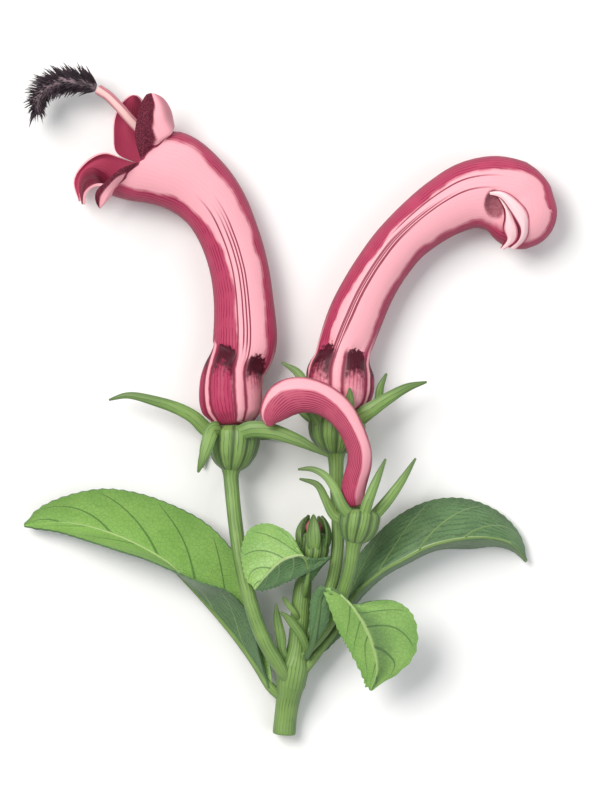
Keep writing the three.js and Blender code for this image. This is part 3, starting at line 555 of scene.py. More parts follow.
class BladeSurface:
    """The surface between the rails of a blade."""

    def __init__(
        self, rails: Rails, bow: float, quilt: float = 0.0, veins: int = 1, sweep: float = 0.0, shift: float = 0.0,
        rounded: float = 0.0
    ) -> None:
        """Reads the rails.

        Args:
            rails: The three rails.
            bow: Height by which each half swells.
            quilt: Height of the swelling between two side veins.
            veins: Side veins in each half.
            sweep: Share of the length by which a side vein runs forward to the edge.
            shift: Place of the first side vein, in vein spacings.
            rounded: 0 where the middle is creased, 1 where the blade bends evenly from edge to edge.
        """
        self.rounded = rounded
        self.matched = rails.matched
        self.routes = [Route(rows) for rows in (rails.left, rails.middle, rails.right)]
        self.bow = bow
        self.quilt = quilt
        self.veins = veins
        self.sweep = sweep
        self.shift = shift

    def ahead(self, u: float) -> Vector:
        """Direction of the spine at share u of the length."""
        return self.routes[1].ahead(u if self.matched else self.routes[1].even(u))

    def frame_at(self, u: float) -> tuple[Vector, Vector, Vector, Vector]:
        """Left edge, spine, right edge and the lift of the blade at share u of its length."""
        ends = [route.place(u if self.matched else route.even(u)) for route in self.routes]
        along = self.ahead(u)
        lift = (ends[2] - ends[0]).cross(along)
        return ends[0], ends[1], ends[2], lift.normalized()

    def place(self, u: float, share: float) -> Vector:
        """A place of the blade.

        Args:
            u: Share of the length from the root.
            share: Share of the half width, negative on the left.

        Returns:
            The place on the middle sheet of the blade.
        """
        left, spine, right, lift = self.frame_at(u)
        edge = left if share < 0.0 else right
        reach = abs(share)
        swell = self.bow * math.sin(math.pi * reach) * math.sin(math.pi * u)
        beat = (u - self.sweep * reach**1.15) * self.veins - self.shift - (0.5 if share < 0.0 else 0.0)
        fade = ramp(reach, 0.0, 0.25) * (1.0 - ramp(reach, 0.7, 1.0)) * math.sin(math.pi * u)
        pillow = self.quilt * fade * (0.5 - 0.5 * math.cos(2.0 * math.pi * beat))
        crown = (spine * 2.0 - left - right) * 0.5 * reach * (1.0 - reach) * self.rounded
        return spine + (edge - spine) * reach + crown + lift * (swell + pillow)

    def grid(self, rows: int, shares: Sequence[float], tooth: float) -> list[list[Vector]]:
        """Places of all rows, with a toothed edge.

        Args:
            rows: Number of steps from root to tip.
            shares: Shares of the half width.
            tooth: Depth of the teeth.

        Returns:
            Rows of places.
        """
        grid = []
        for i in range(rows + 1):
            u = i / rows
            row = [self.place(u, share) for share in shares]
            if tooth and i % 2 == 1 and 3 < i < rows - 1:
                along = self.ahead(u)
                for end, inner in ((0, 1), (-1, -2)):
                    row[end] = row[end] + (row[end] - row[inner]).normalized() * tooth + along * tooth * 0.8
            grid.append(row)
        return grid


class Sketch:
    """Places and joins the shader nodes of one tree."""

    def __init__(self, tree: bpy.types.NodeTree) -> None:
        """Keeps the tree."""
        self.tree = tree

    def node(self, kind: str, **settings: object) -> bpy.types.Node:
        """Adds a node and sets its own settings."""
        made = self.tree.nodes.new(kind)
        for name, value in settings.items():
            setattr(made, name, value)
        return made

    def put(self, target: bpy.types.NodeSocket, value: object) -> None:
        """Joins a socket to a target, or writes a number or colour on it."""
        if isinstance(value, bpy.types.NodeSocket):
            self.tree.links.new(value, target)
        else:
            target.default_value = value

    def math(self, operation: str, first: object, second: object = 0.0, clamp: bool = False) -> bpy.types.NodeSocket:
        """Result of one calculation on two values."""
        made = self.node("ShaderNodeMath", operation=operation, use_clamp=clamp)
        self.put(made.inputs[0], first)
        self.put(made.inputs[1], second)
        return made.outputs[0]

    def rise(self, value: object, low: object, high: object) -> bpy.types.NodeSocket:
        """Smooth rise from 0 at low to 1 at high."""
        made = self.node("ShaderNodeMapRange", interpolation_type="SMOOTHSTEP")
        self.put(made.inputs["Value"], value)
        self.put(made.inputs["From Min"], low)
        self.put(made.inputs["From Max"], high)
        return made.outputs[0]

    def fall(self, value: object, low: object, high: object) -> bpy.types.NodeSocket:
        """Smooth fall from 1 at low to 0 at high."""
        return self.math("SUBTRACT", 1.0, self.rise(value, low, high))

    def blend(self, share: object, first: object, second: object) -> bpy.types.NodeSocket:
        """Colour between first and second."""
        made = self.node("ShaderNodeMix", data_type="RGBA")
        self.put(made.inputs[0], share)
        self.put(made.inputs[6], first)
        self.put(made.inputs[7], second)
        return made.outputs[2]

    def mark(self, mark: Mark) -> bpy.types.NodeSocket:
        """A value that the vertices carry."""
        return self.node("ShaderNodeAttribute", attribute_name=mark.value).outputs["Fac"]

    def cloud(self, scale: object, detail: float = 3.0, stretch_by: tuple[float, ...] = (1.0, 1.0, 1.0)) -> bpy.types.NodeSocket:
        """Soft noise in the object's own space, its scale in waves per millimetre."""
        place = self.node("ShaderNodeTexCoord").outputs["Object"]
        in_mm = self.node("ShaderNodeVectorMath", operation="MULTIPLY")
        self.put(in_mm.inputs[0], place)
        self.put(in_mm.inputs[1], tuple(value / METRES for value in stretch_by))
        noise = self.node("ShaderNodeTexNoise")
        self.put(noise.inputs["Vector"], in_mm.outputs[0])
        self.put(noise.inputs["Scale"], scale)
        self.put(noise.inputs["Detail"], detail)
        return noise.outputs["Fac"]

    def bump(self, height: object, strength: float, distance: float) -> bpy.types.NodeSocket:
        """Normal that follows a height, its distance in millimetres."""
        made = self.node("ShaderNodeBump")
        made.inputs["Strength"].default_value = strength
        made.inputs["Distance"].default_value = distance * METRES
        self.put(made.inputs["Height"], height)
        return made.outputs[0]


class Effect:
    """A shader node group that several materials place with their own values."""

    def __init__(self, name: str, inputs: dict[str, float], outputs: Sequence[str]) -> None:
        """Makes the empty group.

        Args:
            name: Name of the group.
            inputs: Its number inputs with their usual values.
            outputs: Names of its number outputs.
        """
        self.tree = bpy.data.node_groups.new(name, "ShaderNodeTree")
        for label, value in inputs.items():
            socket = self.tree.interface.new_socket(label, in_out="INPUT", socket_type="NodeSocketFloat")
            socket.default_value = value
        for label in outputs:
            self.tree.interface.new_socket(label, in_out="OUTPUT", socket_type="NodeSocketFloat")
        self.sketch = Sketch(self.tree)
        self.given = self.sketch.node("NodeGroupInput").outputs
        self.result = self.sketch.node("NodeGroupOutput").inputs

    def place(self, sketch: Sketch, values: dict[str, float]) -> bpy.types.NodeOutputs:
        """Places the group in a material and sets its inputs."""
        made = sketch.node("ShaderNodeGroup", node_tree=self.tree)
        for label, value in values.items():
            made.inputs[label].default_value = value
        return made.outputs


def nerve_lines() -> Effect:
    """Fine lines that run the length of a tube or sepal, broken here and there."""
    effect = Effect("nerve_lines", {"Count": 40.0, "Width": 0.4, "Wander": 0.6, "Breaks": 0.5}, ["Lines", "Height"])
    draw, given = effect.sketch, effect.given
    angle = draw.math("ARCTAN2", draw.mark(Mark.OVER), draw.mark(Mark.ACROSS))
    turns = draw.math("MULTIPLY", angle, 1.0 / (2.0 * math.pi))
    sway = draw.math("MULTIPLY", draw.math("SUBTRACT", draw.cloud(0.22, 2.0), 0.5), given["Wander"])
    beat = draw.math("FRACT", draw.math("ADD", draw.math("MULTIPLY", turns, given["Count"]), sway))
    distance = draw.math("MULTIPLY", draw.math("ABSOLUTE", draw.math("SUBTRACT", beat, 0.5)), 2.0)
    thin = draw.math("MULTIPLY", given["Width"], draw.math("ADD", draw.cloud(0.35, 1.0), 0.35))
    line = draw.fall(distance, draw.math("MULTIPLY", thin, 0.35), thin)
    gaps = draw.rise(draw.cloud(0.3, 2.0), 0.36, 0.52)
    kept = draw.math("SUBTRACT", 1.0, draw.math("MULTIPLY", draw.math("SUBTRACT", 1.0, gaps), given["Breaks"]))
    draw.put(effect.result["Lines"], draw.math("MULTIPLY", line, kept))
    draw.put(effect.result["Height"], draw.fall(distance, 0.0, 1.0))
    return effect


def blade_veins() -> Effect:
    """Midrib, curved side veins and the fine net between them, on a blade."""
    inputs = {"Veins": 6.0, "Sweep": 0.24, "Shift": 0.8, "Width": 0.09, "Net": 1.3}
    effect = Effect("blade_veins", inputs, ["Midrib", "Veins", "Net"])
    draw, given = effect.sketch, effect.given
    across, along = draw.mark(Mark.ACROSS), draw.mark(Mark.ALONG)
    reach = draw.math("ABSOLUTE", across)
    swept = draw.math("MULTIPLY", draw.math("POWER", reach, 1.15), given["Sweep"])
    beat = draw.math("MULTIPLY", draw.math("SUBTRACT", along, swept), given["Veins"])
    beat = draw.math("SUBTRACT", beat, given["Shift"])
    beat = draw.math("SUBTRACT", beat, draw.math("MULTIPLY", draw.math("LESS_THAN", across, 0.0), 0.5))
    near = draw.math("ABSOLUTE", draw.math("SUBTRACT", draw.math("FRACT", draw.math("ADD", beat, 0.5)), 0.5))
    width = draw.math("MULTIPLY", given["Width"], draw.math("SUBTRACT", 1.0, draw.math("MULTIPLY", reach, 0.75)))
    side_vein = draw.math("SUBTRACT", 1.0, draw.math("DIVIDE", near, width), clamp=True)
    inside = draw.math("MULTIPLY", draw.fall(reach, 0.86, 0.97), draw.rise(beat, -0.3, -0.05))
    midrib_width = draw.math("SUBTRACT", 0.085, draw.math("MULTIPLY", along, 0.05))
    draw.put(effect.result["Midrib"], draw.fall(reach, draw.math("MULTIPLY", midrib_width, 0.5), midrib_width))
    draw.put(effect.result["Veins"], draw.math("MULTIPLY", side_vein, inside))
    place = draw.node("ShaderNodeTexCoord").outputs["Object"]
    cells = draw.node("ShaderNodeTexVoronoi", feature="DISTANCE_TO_EDGE")
    in_mm = draw.node("ShaderNodeVectorMath", operation="SCALE")
    draw.put(in_mm.inputs[0], place)
    in_mm.inputs["Scale"].default_value = 1.0 / METRES
    draw.put(cells.inputs["Vector"], in_mm.outputs[0])
    draw.put(cells.inputs["Scale"], given["Net"])
    draw.put(effect.result["Net"], draw.fall(cells.outputs["Distance"], 0.0, 0.12))
    return effect


def rib_shade() -> Effect:
    """Painted shade in the grooves between the ten ribs of a seed case."""
    effect = Effect("rib_shade", {"Width": 0.2}, ["Grooves"])
    draw = effect.sketch
    angle = draw.math("ARCTAN2", draw.mark(Mark.OVER), draw.mark(Mark.ACROSS))
    beat = draw.math("FRACT", draw.math("MULTIPLY", angle, RIBS / (2.0 * math.pi)))
    off = draw.math("ABSOLUTE", draw.math("SUBTRACT", beat, 0.5))
    draw.put(effect.result["Grooves"], draw.fall(off, 0.02, effect.given["Width"]))
    return effect


def pouch_shade() -> Effect:
    """Painted light and shade on a corolla's base: painted shade in the grooves, a painted highlight on the slim ribs
    between them, painted shade in the arched hollows and below them.
    """
    effect = Effect("pouch_shade", {"Waist": 0.34, "Lift": 0.05}, ["Grooves", "Ribs", "Shade", "Hollow"])
    draw, waist = effect.sketch, effect.given["Waist"]
    along = draw.mark(Mark.ALONG)
    angle = draw.math("ARCTAN2", draw.mark(Mark.OVER), draw.mark(Mark.ACROSS))
    sway = draw.math("MULTIPLY", draw.math("SUBTRACT", draw.cloud(0.5, 2.0), 0.5), 0.06)
    turns = draw.math("ADD", draw.math("MULTIPLY", angle, LOBES / (2.0 * math.pi)), sway)
    beat = draw.math("FRACT", draw.math("SUBTRACT", turns, 0.25))
    aside = draw.math("MULTIPLY", draw.math("ABSOLUTE", draw.math("SUBTRACT", beat, 0.5)), 2.0)
    height = draw.math("SUBTRACT", along, waist)
    # Painted shade in the grooves beside the slim ribs.
    groove = draw.fall(draw.math("ABSOLUTE", draw.math("SUBTRACT", aside, 0.7)), 0.03, 0.15)
    draw.put(effect.result["Grooves"], draw.math("MULTIPLY", groove, draw.fall(height, -0.02, 0.03)))
    # Painted highlight on the slim ribs.
    rib = draw.rise(aside, 0.78, 0.9)
    draw.put(effect.result["Ribs"], draw.math("MULTIPLY", rib, draw.fall(height, 0.0, 0.12)))
    # Painted shade in the arched hollows above the pouches and below them, with a ragged top edge.
    ragged = draw.math("MULTIPLY", draw.math("SUBTRACT", draw.cloud(1.3, 4.0), 0.5), 0.1)
    arch = draw.math("MULTIPLY", draw.math("MULTIPLY", aside, aside), -0.08)
    depth = draw.math("SUBTRACT", draw.math("ADD", height, ragged), draw.math("ADD", arch, effect.given["Lift"]))
    top = draw.fall(depth, -0.006, 0.012)
    draw.put(effect.result["Shade"], draw.math("MULTIPLY", draw.math("MULTIPLY", top, draw.rise(depth, -0.24, -0.05)), draw.fall(aside, 0.2, 0.8)))
    sunk = draw.math("MULTIPLY", draw.math("MULTIPLY", top, draw.rise(depth, -0.14, -0.07)), draw.fall(aside, 0.5, 0.78))
    draw.put(effect.result["Hollow"], sunk)
    return effect


def mottle() -> Effect:
    """Soft uneven tone and a fine grain."""
    effect = Effect("mottle", {"Patch": 0.18, "Grain": 4.0}, ["Tone", "Grain"])
    draw, given = effect.sketch, effect.given
    draw.put(effect.result["Tone"], draw.rise(draw.cloud(given["Patch"], 3.0), 0.3, 0.7))
    draw.put(effect.result["Grain"], draw.cloud(given["Grain"], 4.0))
    return effect


@dataclass(frozen=True)
class Effects:
    """The node groups that the finishes share."""

    nerves: Effect
    veins: Effect
    ribs: Effect
    pouches: Effect
    mottle: Effect


Colour = tuple[float, float, float]


def opaque(colour: Colour) -> tuple[float, float, float, float]:
    """The colour with full alpha."""
    return (*colour, 1.0)


def surface(name: str, **constants: float) -> tuple[bpy.types.Material, Sketch, bpy.types.Node]:
    """A new material with one principled surface.

    Args:
        name: Name of the material.
        constants: Values set on the surface's own sockets.

    Returns:
        The material, the sketch of its tree and its surface node.
    """
    material = bpy.data.materials.new(name)
    material.use_nodes = True
    material.node_tree.nodes.clear()
    sketch = Sketch(material.node_tree)
    shader = sketch.node("ShaderNodeBsdfPrincipled")
    output = sketch.node("ShaderNodeOutputMaterial")
    sketch.put(output.inputs["Surface"], shader.outputs[0])
    for label, value in constants.items():
        shader.inputs[label.replace("_", " ").title().replace("Ior", "IOR")].default_value = value
    return material, sketch, shader


@dataclass(frozen=True)
class PetalFinish:
    """Satin petal: pale flank, deep bands at both edges that are partly the petal's deeper colour and partly painted
    shade, a dark line of painted shade along both sides, fine nerves, long lines, and painted light and shade on its
    base.
    """

    name: str
    pale: Colour
    deep: Colour
    line: Colour
    # Near-black colour of the painted shade in hollows and on the shaded parts of lobes.
    hollow_shade: Colour
    near_edge: tuple[float, float] = (0.35, 1.0)
    far_edge: tuple[float, float] = (0.35, 1.0)
    near_thins: float = 0.0
    bulge: float = 0.0
    # Painted shade round the sides of the hood's end.
    hood_end_shade: float = 0.0
    long_lines: Sequence[tuple[float, float, float]] = ()
    waist: float = 0.0
    # Lift of the painted shade in the arched hollows of the base.
    hollow_shade_lift: float = 0.05
    nerves: float = 56.0
    nerve_width: float = 0.5
    line_strength: float = 0.8
    # Strength of the deep edge bands, which are partly petal colour and partly painted shade.
    band: float = 0.85
    # Strength of the painted-shade line along both sides of a tube.
    rim: float = 0.55
    # Painted shade towards the base of the bud.
    base_shade: float = 0.0

    def build(self, effects: Effects) -> bpy.types.Material:
        """Makes the material.

        Args:
            effects: The shared node groups.

        Returns:
            The material.
        """
        material, draw, shader = surface(
            self.name, subsurface_weight=0.06, sheen_weight=0.03, sheen_roughness=0.4, specular_ior_level=0.2
        )
        shader.inputs["Subsurface Radius"].default_value = (0.0012, 0.0006, 0.0006)
        shader.inputs["Subsurface Scale"].default_value = 0.5
        across, along = draw.mark(Mark.ACROSS), draw.mark(Mark.ALONG)
        cover = effects.mottle.place(draw, {"Patch": 0.12, "Grain": 5.0})
        # Deep bands towards both sides of the tube: partly the petal's deeper back and belly, partly painted shade at
        # the sides that turn from the light.
        drift = draw.math("MULTIPLY", draw.math("SUBTRACT", cover["Tone"], 0.5), 0.14)
        thinner = draw.math("MULTIPLY", draw.rise(along, 0.5, 0.95), self.near_thins)
        middle = draw.math("ABSOLUTE", draw.math("SUBTRACT", along, 0.58))
        wider = draw.math("MULTIPLY", draw.fall(middle, 0.05, 0.32), self.bulge)
        drawn = draw.math("ADD", draw.math("ADD", across, drift), wider)
        near = draw.rise(draw.math("SUBTRACT", drawn, thinner), *self.near_edge)
        far = draw.rise(draw.math("SUBTRACT", drift, across), *self.far_edge)
        edge = draw.math("MAXIMUM", near, far)
        if self.waist:
            edge = draw.math("MULTIPLY", edge, draw.fall(along, 1.0, 1.05))
        # Painted shade round the sides of the hood's end, where the surface turns from the top.
        if self.hood_end_shade:
            tip = draw.math("MULTIPLY", draw.fall(draw.mark(Mark.OVER), self.hood_end_shade, self.hood_end_shade + 0.16), draw.rise(along, 0.93, 0.98))
            edge = draw.math("MAXIMUM", edge, tip)
        colour = draw.blend(draw.math("MULTIPLY", edge, self.band), opaque(self.pale), opaque(self.deep))
        # Painted shade: a dark line along both sides of the tube.
        rim = draw.math("MULTIPLY", draw.rise(draw.math("ABSOLUTE", across), 0.84, 1.0), self.rim)
        colour = draw.blend(rim, colour, opaque(self.line))
        nerve = effects.nerves.place(draw, {"Count": self.nerves, "Width": self.nerve_width, "Wander": 1.2, "Breaks": 0.8})
        presence = draw.math("ADD", draw.math("MULTIPLY", edge, 0.95), 0.05, clamp=True)
        lines = draw.math("MULTIPLY", draw.math("MULTIPLY", nerve["Lines"], presence), self.line_strength)
        # Painted shade towards the base of the bud.
        if self.base_shade:
            early = draw.math("MULTIPLY", draw.fall(along, 0.0, 0.4), self.base_shade)
            colour = draw.blend(early, colour, opaque(self.deep))
        if self.waist:
            lines = draw.math("MAXIMUM", lines, self._long_lines(draw, across, along))
        colour = draw.blend(lines, colour, opaque(self.line))
        if self.waist:
            colour = self._base(draw, effects, colour, nerve["Lines"], along)
        # Painted shade where the hollow mark is set: deep colour first, then the near-black shade colour in broken
        # streaks.
        hollow = draw.math("ADD", draw.mark(Mark.HOLLOW), draw.math("MULTIPLY", draw.math("SUBTRACT", cover["Grain"], 0.5), 0.5))
        hollow = draw.rise(hollow, 0.15, 0.8)
        colour = draw.blend(draw.math("MULTIPLY", hollow, 0.9), colour, opaque(self.deep))
        stipple = draw.rise(draw.cloud(4.5, 2.0), 0.35, 0.6)
        streaks = draw.math("ADD", draw.math("MULTIPLY", stipple, 0.3), 0.68)
        colour = draw.blend(draw.math("MULTIPLY", hollow, streaks), colour, opaque(self.hollow_shade))
        draw.put(shader.inputs["Base Color"], colour)
        rough = draw.math("ADD", 0.38, draw.math("MULTIPLY", cover["Grain"], 0.16))
        draw.put(shader.inputs["Roughness"], draw.math("ADD", rough, draw.math("MULTIPLY", hollow, 0.3)))
        height = draw.math("MULTIPLY", nerve["Height"], draw.math("ADD", draw.math("MULTIPLY", edge, 0.7), 0.3))
        height = draw.math("ADD", height, draw.math("MULTIPLY", cover["Grain"], 0.4))
        height = draw.math("SUBTRACT", height, draw.math("MULTIPLY", lines, 0.6))
        draw.put(shader.inputs["Normal"], draw.bump(height, 0.4, 0.07))
        return material

    def _long_lines(self, draw: Sketch, across: bpy.types.NodeSocket, along: bpy.types.NodeSocket) -> bpy.types.NodeSocket:
        """Single dark lines beside the tube's pale stripe, and a wavy line of painted shade under the fold of its
        lobes.
        """
        found = 0.0
        sway = draw.math("MULTIPLY", draw.math("SUBTRACT", draw.cloud(0.1, 1.0), 0.5), 0.05)
        for place, start, end in self.long_lines:
            off = draw.math("ABSOLUTE", draw.math("SUBTRACT", draw.math("ADD", across, sway), place))
            stretch_of = draw.math("MULTIPLY", draw.rise(along, start - 0.06, start), draw.fall(along, end - 0.12, end))
            found = draw.math("MAXIMUM", found, draw.math("MULTIPLY", draw.fall(off, 0.012, 0.036), stretch_of))
        angle = draw.math("ARCTAN2", draw.mark(Mark.OVER), across)
        # Painted shade: a wavy dark line under the rolled fold at the root of the lobes.
        fold = draw.math("MULTIPLY", draw.math("SINE", draw.math("MULTIPLY", angle, 11.0)), 0.035)
        fold_shade_line = draw.math("ABSOLUTE", draw.math("SUBTRACT", draw.math("SUBTRACT", along, fold), 1.06))
        fold_shade_line = draw.math("MULTIPLY", draw.fall(fold_shade_line, 0.02, 0.05), draw.math("GREATER_THAN", along, 1.001))
        found = draw.math("MAXIMUM", found, fold_shade_line)
        upper = draw.rise(draw.mark(Mark.OVER), 0.0, 0.2)
        return draw.math("MULTIPLY", draw.math("MULTIPLY", found, upper), 0.95)

    def _base(
        self, draw: Sketch, effects: Effects, colour: bpy.types.NodeSocket, nerve: bpy.types.NodeSocket, along: bpy.types.NodeSocket
    ) -> bpy.types.NodeSocket:
        """Colours the swollen base below the waist, with painted shade in its grooves, in its hollows and below them,
        and a painted highlight on its slim ribs.

        Args:
            draw: The material's sketch.
            effects: The shared node groups.
            colour: Colour so far.
            nerve: Mask of the fine nerves.
            along: Share of the rows.

        Returns:
            The new colour.
        """
        tones = effects.pouches.place(draw, {"Waist": self.waist, "Lift": self.hollow_shade_lift})
        low = draw.math("MULTIPLY", draw.fall(along, self.waist - 0.08, self.waist + 0.04), 0.2)
        colour = draw.blend(low, colour, opaque(self.deep))
        # Painted shade below the hollows, hatched with the nerve lines.
        colour = draw.blend(draw.math("MULTIPLY", tones["Shade"], 0.75), colour, opaque(self.deep))
        hatch = draw.math("MULTIPLY", draw.math("MULTIPLY", tones["Shade"], nerve), 0.95)
        colour = draw.blend(hatch, colour, opaque(self.line))
        # Painted highlight on the slim ribs.
        colour = draw.blend(draw.math("MULTIPLY", tones["Ribs"], 0.9), colour, opaque(self.pale))
        # Painted shade in the grooves.
        colour = draw.blend(draw.math("MULTIPLY", tones["Grooves"], 0.9), colour, opaque(self.line))
        # Painted shade in the hollows.
        return draw.blend(draw.math("MULTIPLY", tones["Hollow"], 0.95), colour, opaque(self.hollow_shade))


@dataclass(frozen=True)
class LeafFinish:
    """One face of a leaf, with its midrib, side veins and net, painted shade drawn as dark hatching, and painted shade
    beside the fold where it is set.
    """

    name: str
    body: Colour
    dark: Colour
    vein: Colour
    midrib: Colour
    gloss: float
    veins: float = 6.0
    sweep: float = 0.24
    shift: float = 0.8
    width: float = 0.07
    vein_strength: float = 0.8
    # Strength of the painted shade drawn as dark fine lines over the face.
    shade_hatching: float = 0.0
    relief: float = -1.0
    fold_shade: float = 0.0

    def build(self, effects: Effects) -> bpy.types.Material:
        """Makes the material.

        Args:
            effects: The shared node groups.

        Returns:
            The material.
        """
        material, draw, shader = surface(self.name, sheen_weight=0.08, coat_weight=0.12, coat_roughness=0.35)
        veins = effects.veins.place(
            draw, {"Veins": self.veins, "Sweep": self.sweep, "Shift": self.shift, "Width": self.width, "Net": 1.2}
        )
        cover = effects.mottle.place(draw, {"Patch": 0.16, "Grain": 3.0})
        reach = draw.math("ABSOLUTE", draw.mark(Mark.ACROSS))
        depth = draw.math("ADD", draw.math("MULTIPLY", cover["Tone"], 0.5), draw.math("MULTIPLY", draw.rise(reach, 0.75, 1.0), 0.35), clamp=True)
        colour = draw.blend(depth, opaque(self.body), opaque(self.dark))
        # Painted shade drawn as dark hatching lines.
        if self.shade_hatching:
            nerve = effects.nerves.place(draw, {"Count": 46.0, "Width": 0.55, "Wander": 1.6, "Breaks": 0.6})
            colour = draw.blend(draw.math("MULTIPLY", nerve["Lines"], self.shade_hatching), colour, opaque(self.dark))
        if self.fold_shade:
            across = draw.mark(Mark.ACROSS)
            near = draw.math("MULTIPLY", draw.rise(across, 0.03, 0.08), draw.fall(across, 0.12, 0.6))
            streaked = draw.math("ADD", draw.math("MULTIPLY", draw.cloud(0.9, 3.0, (1.0, 3.0, 1.0)), 0.8), 0.4, clamp=True)
            near = draw.math("MULTIPLY", draw.math("MULTIPLY", near, streaked), self.fold_shade)
            colour = draw.blend(near, colour, opaque(self.vein))
        colour = draw.blend(draw.math("MULTIPLY", veins["Net"], 0.22), colour, opaque(self.vein))
        colour = draw.blend(draw.math("MULTIPLY", veins["Veins"], self.vein_strength), colour, opaque(self.vein))
        colour = draw.blend(draw.math("MULTIPLY", veins["Midrib"], 0.9), colour, opaque(self.midrib))
        draw.put(shader.inputs["Base Color"], colour)
        rough = draw.math("ADD", self.gloss, draw.math("MULTIPLY", cover["Grain"], 0.18))
        draw.put(shader.inputs["Roughness"], rough)
        ridge = draw.math("ADD", draw.math("MAXIMUM", veins["Veins"], veins["Midrib"]), draw.math("MULTIPLY", veins["Net"], 0.35))
        height = draw.math("ADD", draw.math("MULTIPLY", ridge, self.relief), draw.math("MULTIPLY", cover["Grain"], 0.25))
        draw.put(shader.inputs["Normal"], draw.bump(height, 0.6, 0.12))
        return material


@dataclass(frozen=True)
class StalkFinish:
    """Green herb stalk, seed case or sepal with darker length-wise lines, painted shade towards both sides and, on a
    seed case, painted shade in its grooves.
    """

    name: str
    body: Colour
    dark: Colour
    line: Colour
    count: float = 22.0
    width: float = 0.5
    line_strength: float = 0.75
    # Strength of the painted shade in the grooves of a seed case.
    grooves: float = 0.0
    tip: float = 0.0

    def build(self, effects: Effects) -> bpy.types.Material:
        """Makes the material.

        Args:
            effects: The shared node groups.

        Returns:
            The material.
        """
        material, draw, shader = surface(self.name, sheen_weight=0.1, subsurface_weight=0.03)
        shader.inputs["Subsurface Radius"].default_value = (0.0006, 0.0008, 0.0004)
        shader.inputs["Subsurface Scale"].default_value = 0.4
        cover = effects.mottle.place(draw, {"Patch": 0.2, "Grain": 4.0})
        nerve = effects.nerves.place(draw, {"Count": self.count, "Width": self.width, "Wander": 0.9, "Breaks": 0.7})
        # Painted shade: darker towards both sides.
        side = draw.rise(draw.math("ABSOLUTE", draw.mark(Mark.ACROSS)), 0.45, 1.0)
        depth = draw.math("ADD", draw.math("MULTIPLY", side, 0.6), draw.math("MULTIPLY", cover["Tone"], 0.35), clamp=True)
        colour = draw.blend(depth, opaque(self.body), opaque(self.dark))
        # Painted shade in the grooves between the ribs.
        if self.grooves:
            shade = effects.ribs.place(draw, {"Width": 0.24})
            colour = draw.blend(draw.math("MULTIPLY", shade["Grooves"], self.grooves), colour, opaque(self.line))
        if self.tip:
            late = draw.math("MULTIPLY", draw.rise(draw.mark(Mark.ALONG), 0.45, 1.0), self.tip)
            colour = draw.blend(late, colour, opaque(self.line))
        colour = draw.blend(draw.math("MULTIPLY", nerve["Lines"], self.line_strength), colour, opaque(self.line))
        draw.put(shader.inputs["Base Color"], colour)
        draw.put(shader.inputs["Roughness"], draw.math("ADD", 0.42, draw.math("MULTIPLY", cover["Grain"], 0.2)))
        height = draw.math("ADD", nerve["Height"], draw.math("MULTIPLY", cover["Grain"], 0.4))
        draw.put(shader.inputs["Normal"], draw.bump(height, 0.5, 0.08))
        return material


@dataclass(frozen=True)
class GrainFinish:
    """Plain grainy finish of two tones, for bristles and cut pith."""

    name: str
    body: Colour
    dark: Colour
    rough: float
    patch: float = 0.5

    def build(self, effects: Effects) -> bpy.types.Material:
        """Makes the material.

        Args:
            effects: The shared node groups.

        Returns:
            The material.
        """
        material, draw, shader = surface(self.name, sheen_weight=0.15)
        cover = effects.mottle.place(draw, {"Patch": self.patch, "Grain": 6.0})
        tone = draw.math("ADD", cover["Tone"], draw.math("MULTIPLY", draw.math("SUBTRACT", cover["Grain"], 0.5), 0.5), clamp=True)
        draw.put(shader.inputs["Base Color"], draw.blend(tone, opaque(self.body), opaque(self.dark)))
        draw.put(shader.inputs["Roughness"], draw.math("ADD", self.rough, draw.math("MULTIPLY", cover["Grain"], 0.15)))
        draw.put(shader.inputs["Normal"], draw.bump(cover["Grain"], 0.5, 0.05))
        return material


@dataclass(frozen=True)
class Finishes:
    """All materials of the sprig."""

    stem: bpy.types.Material
    cut: bpy.types.Material
    stalk: bpy.types.Material
    leaf_upper: bpy.types.Material
    leaf_lower_shaded: bpy.types.Material
    small_upper: bpy.types.Material
    small_lower_shaded: bpy.types.Material
    front_upper: bpy.types.Material
    front_rib_shaded: bpy.types.Material
    seed_case: bpy.types.Material
    sepal: bpy.types.Material
    petal_open: bpy.types.Material
    petal_inside_shaded: bpy.types.Material
    petal_closed: bpy.types.Material
    petal_lip: bpy.types.Material
    petal_young: bpy.types.Material
    petal_small: bpy.types.Material
    column: bpy.types.Material
    anther: bpy.types.Material
    bristle: bpy.types.Material


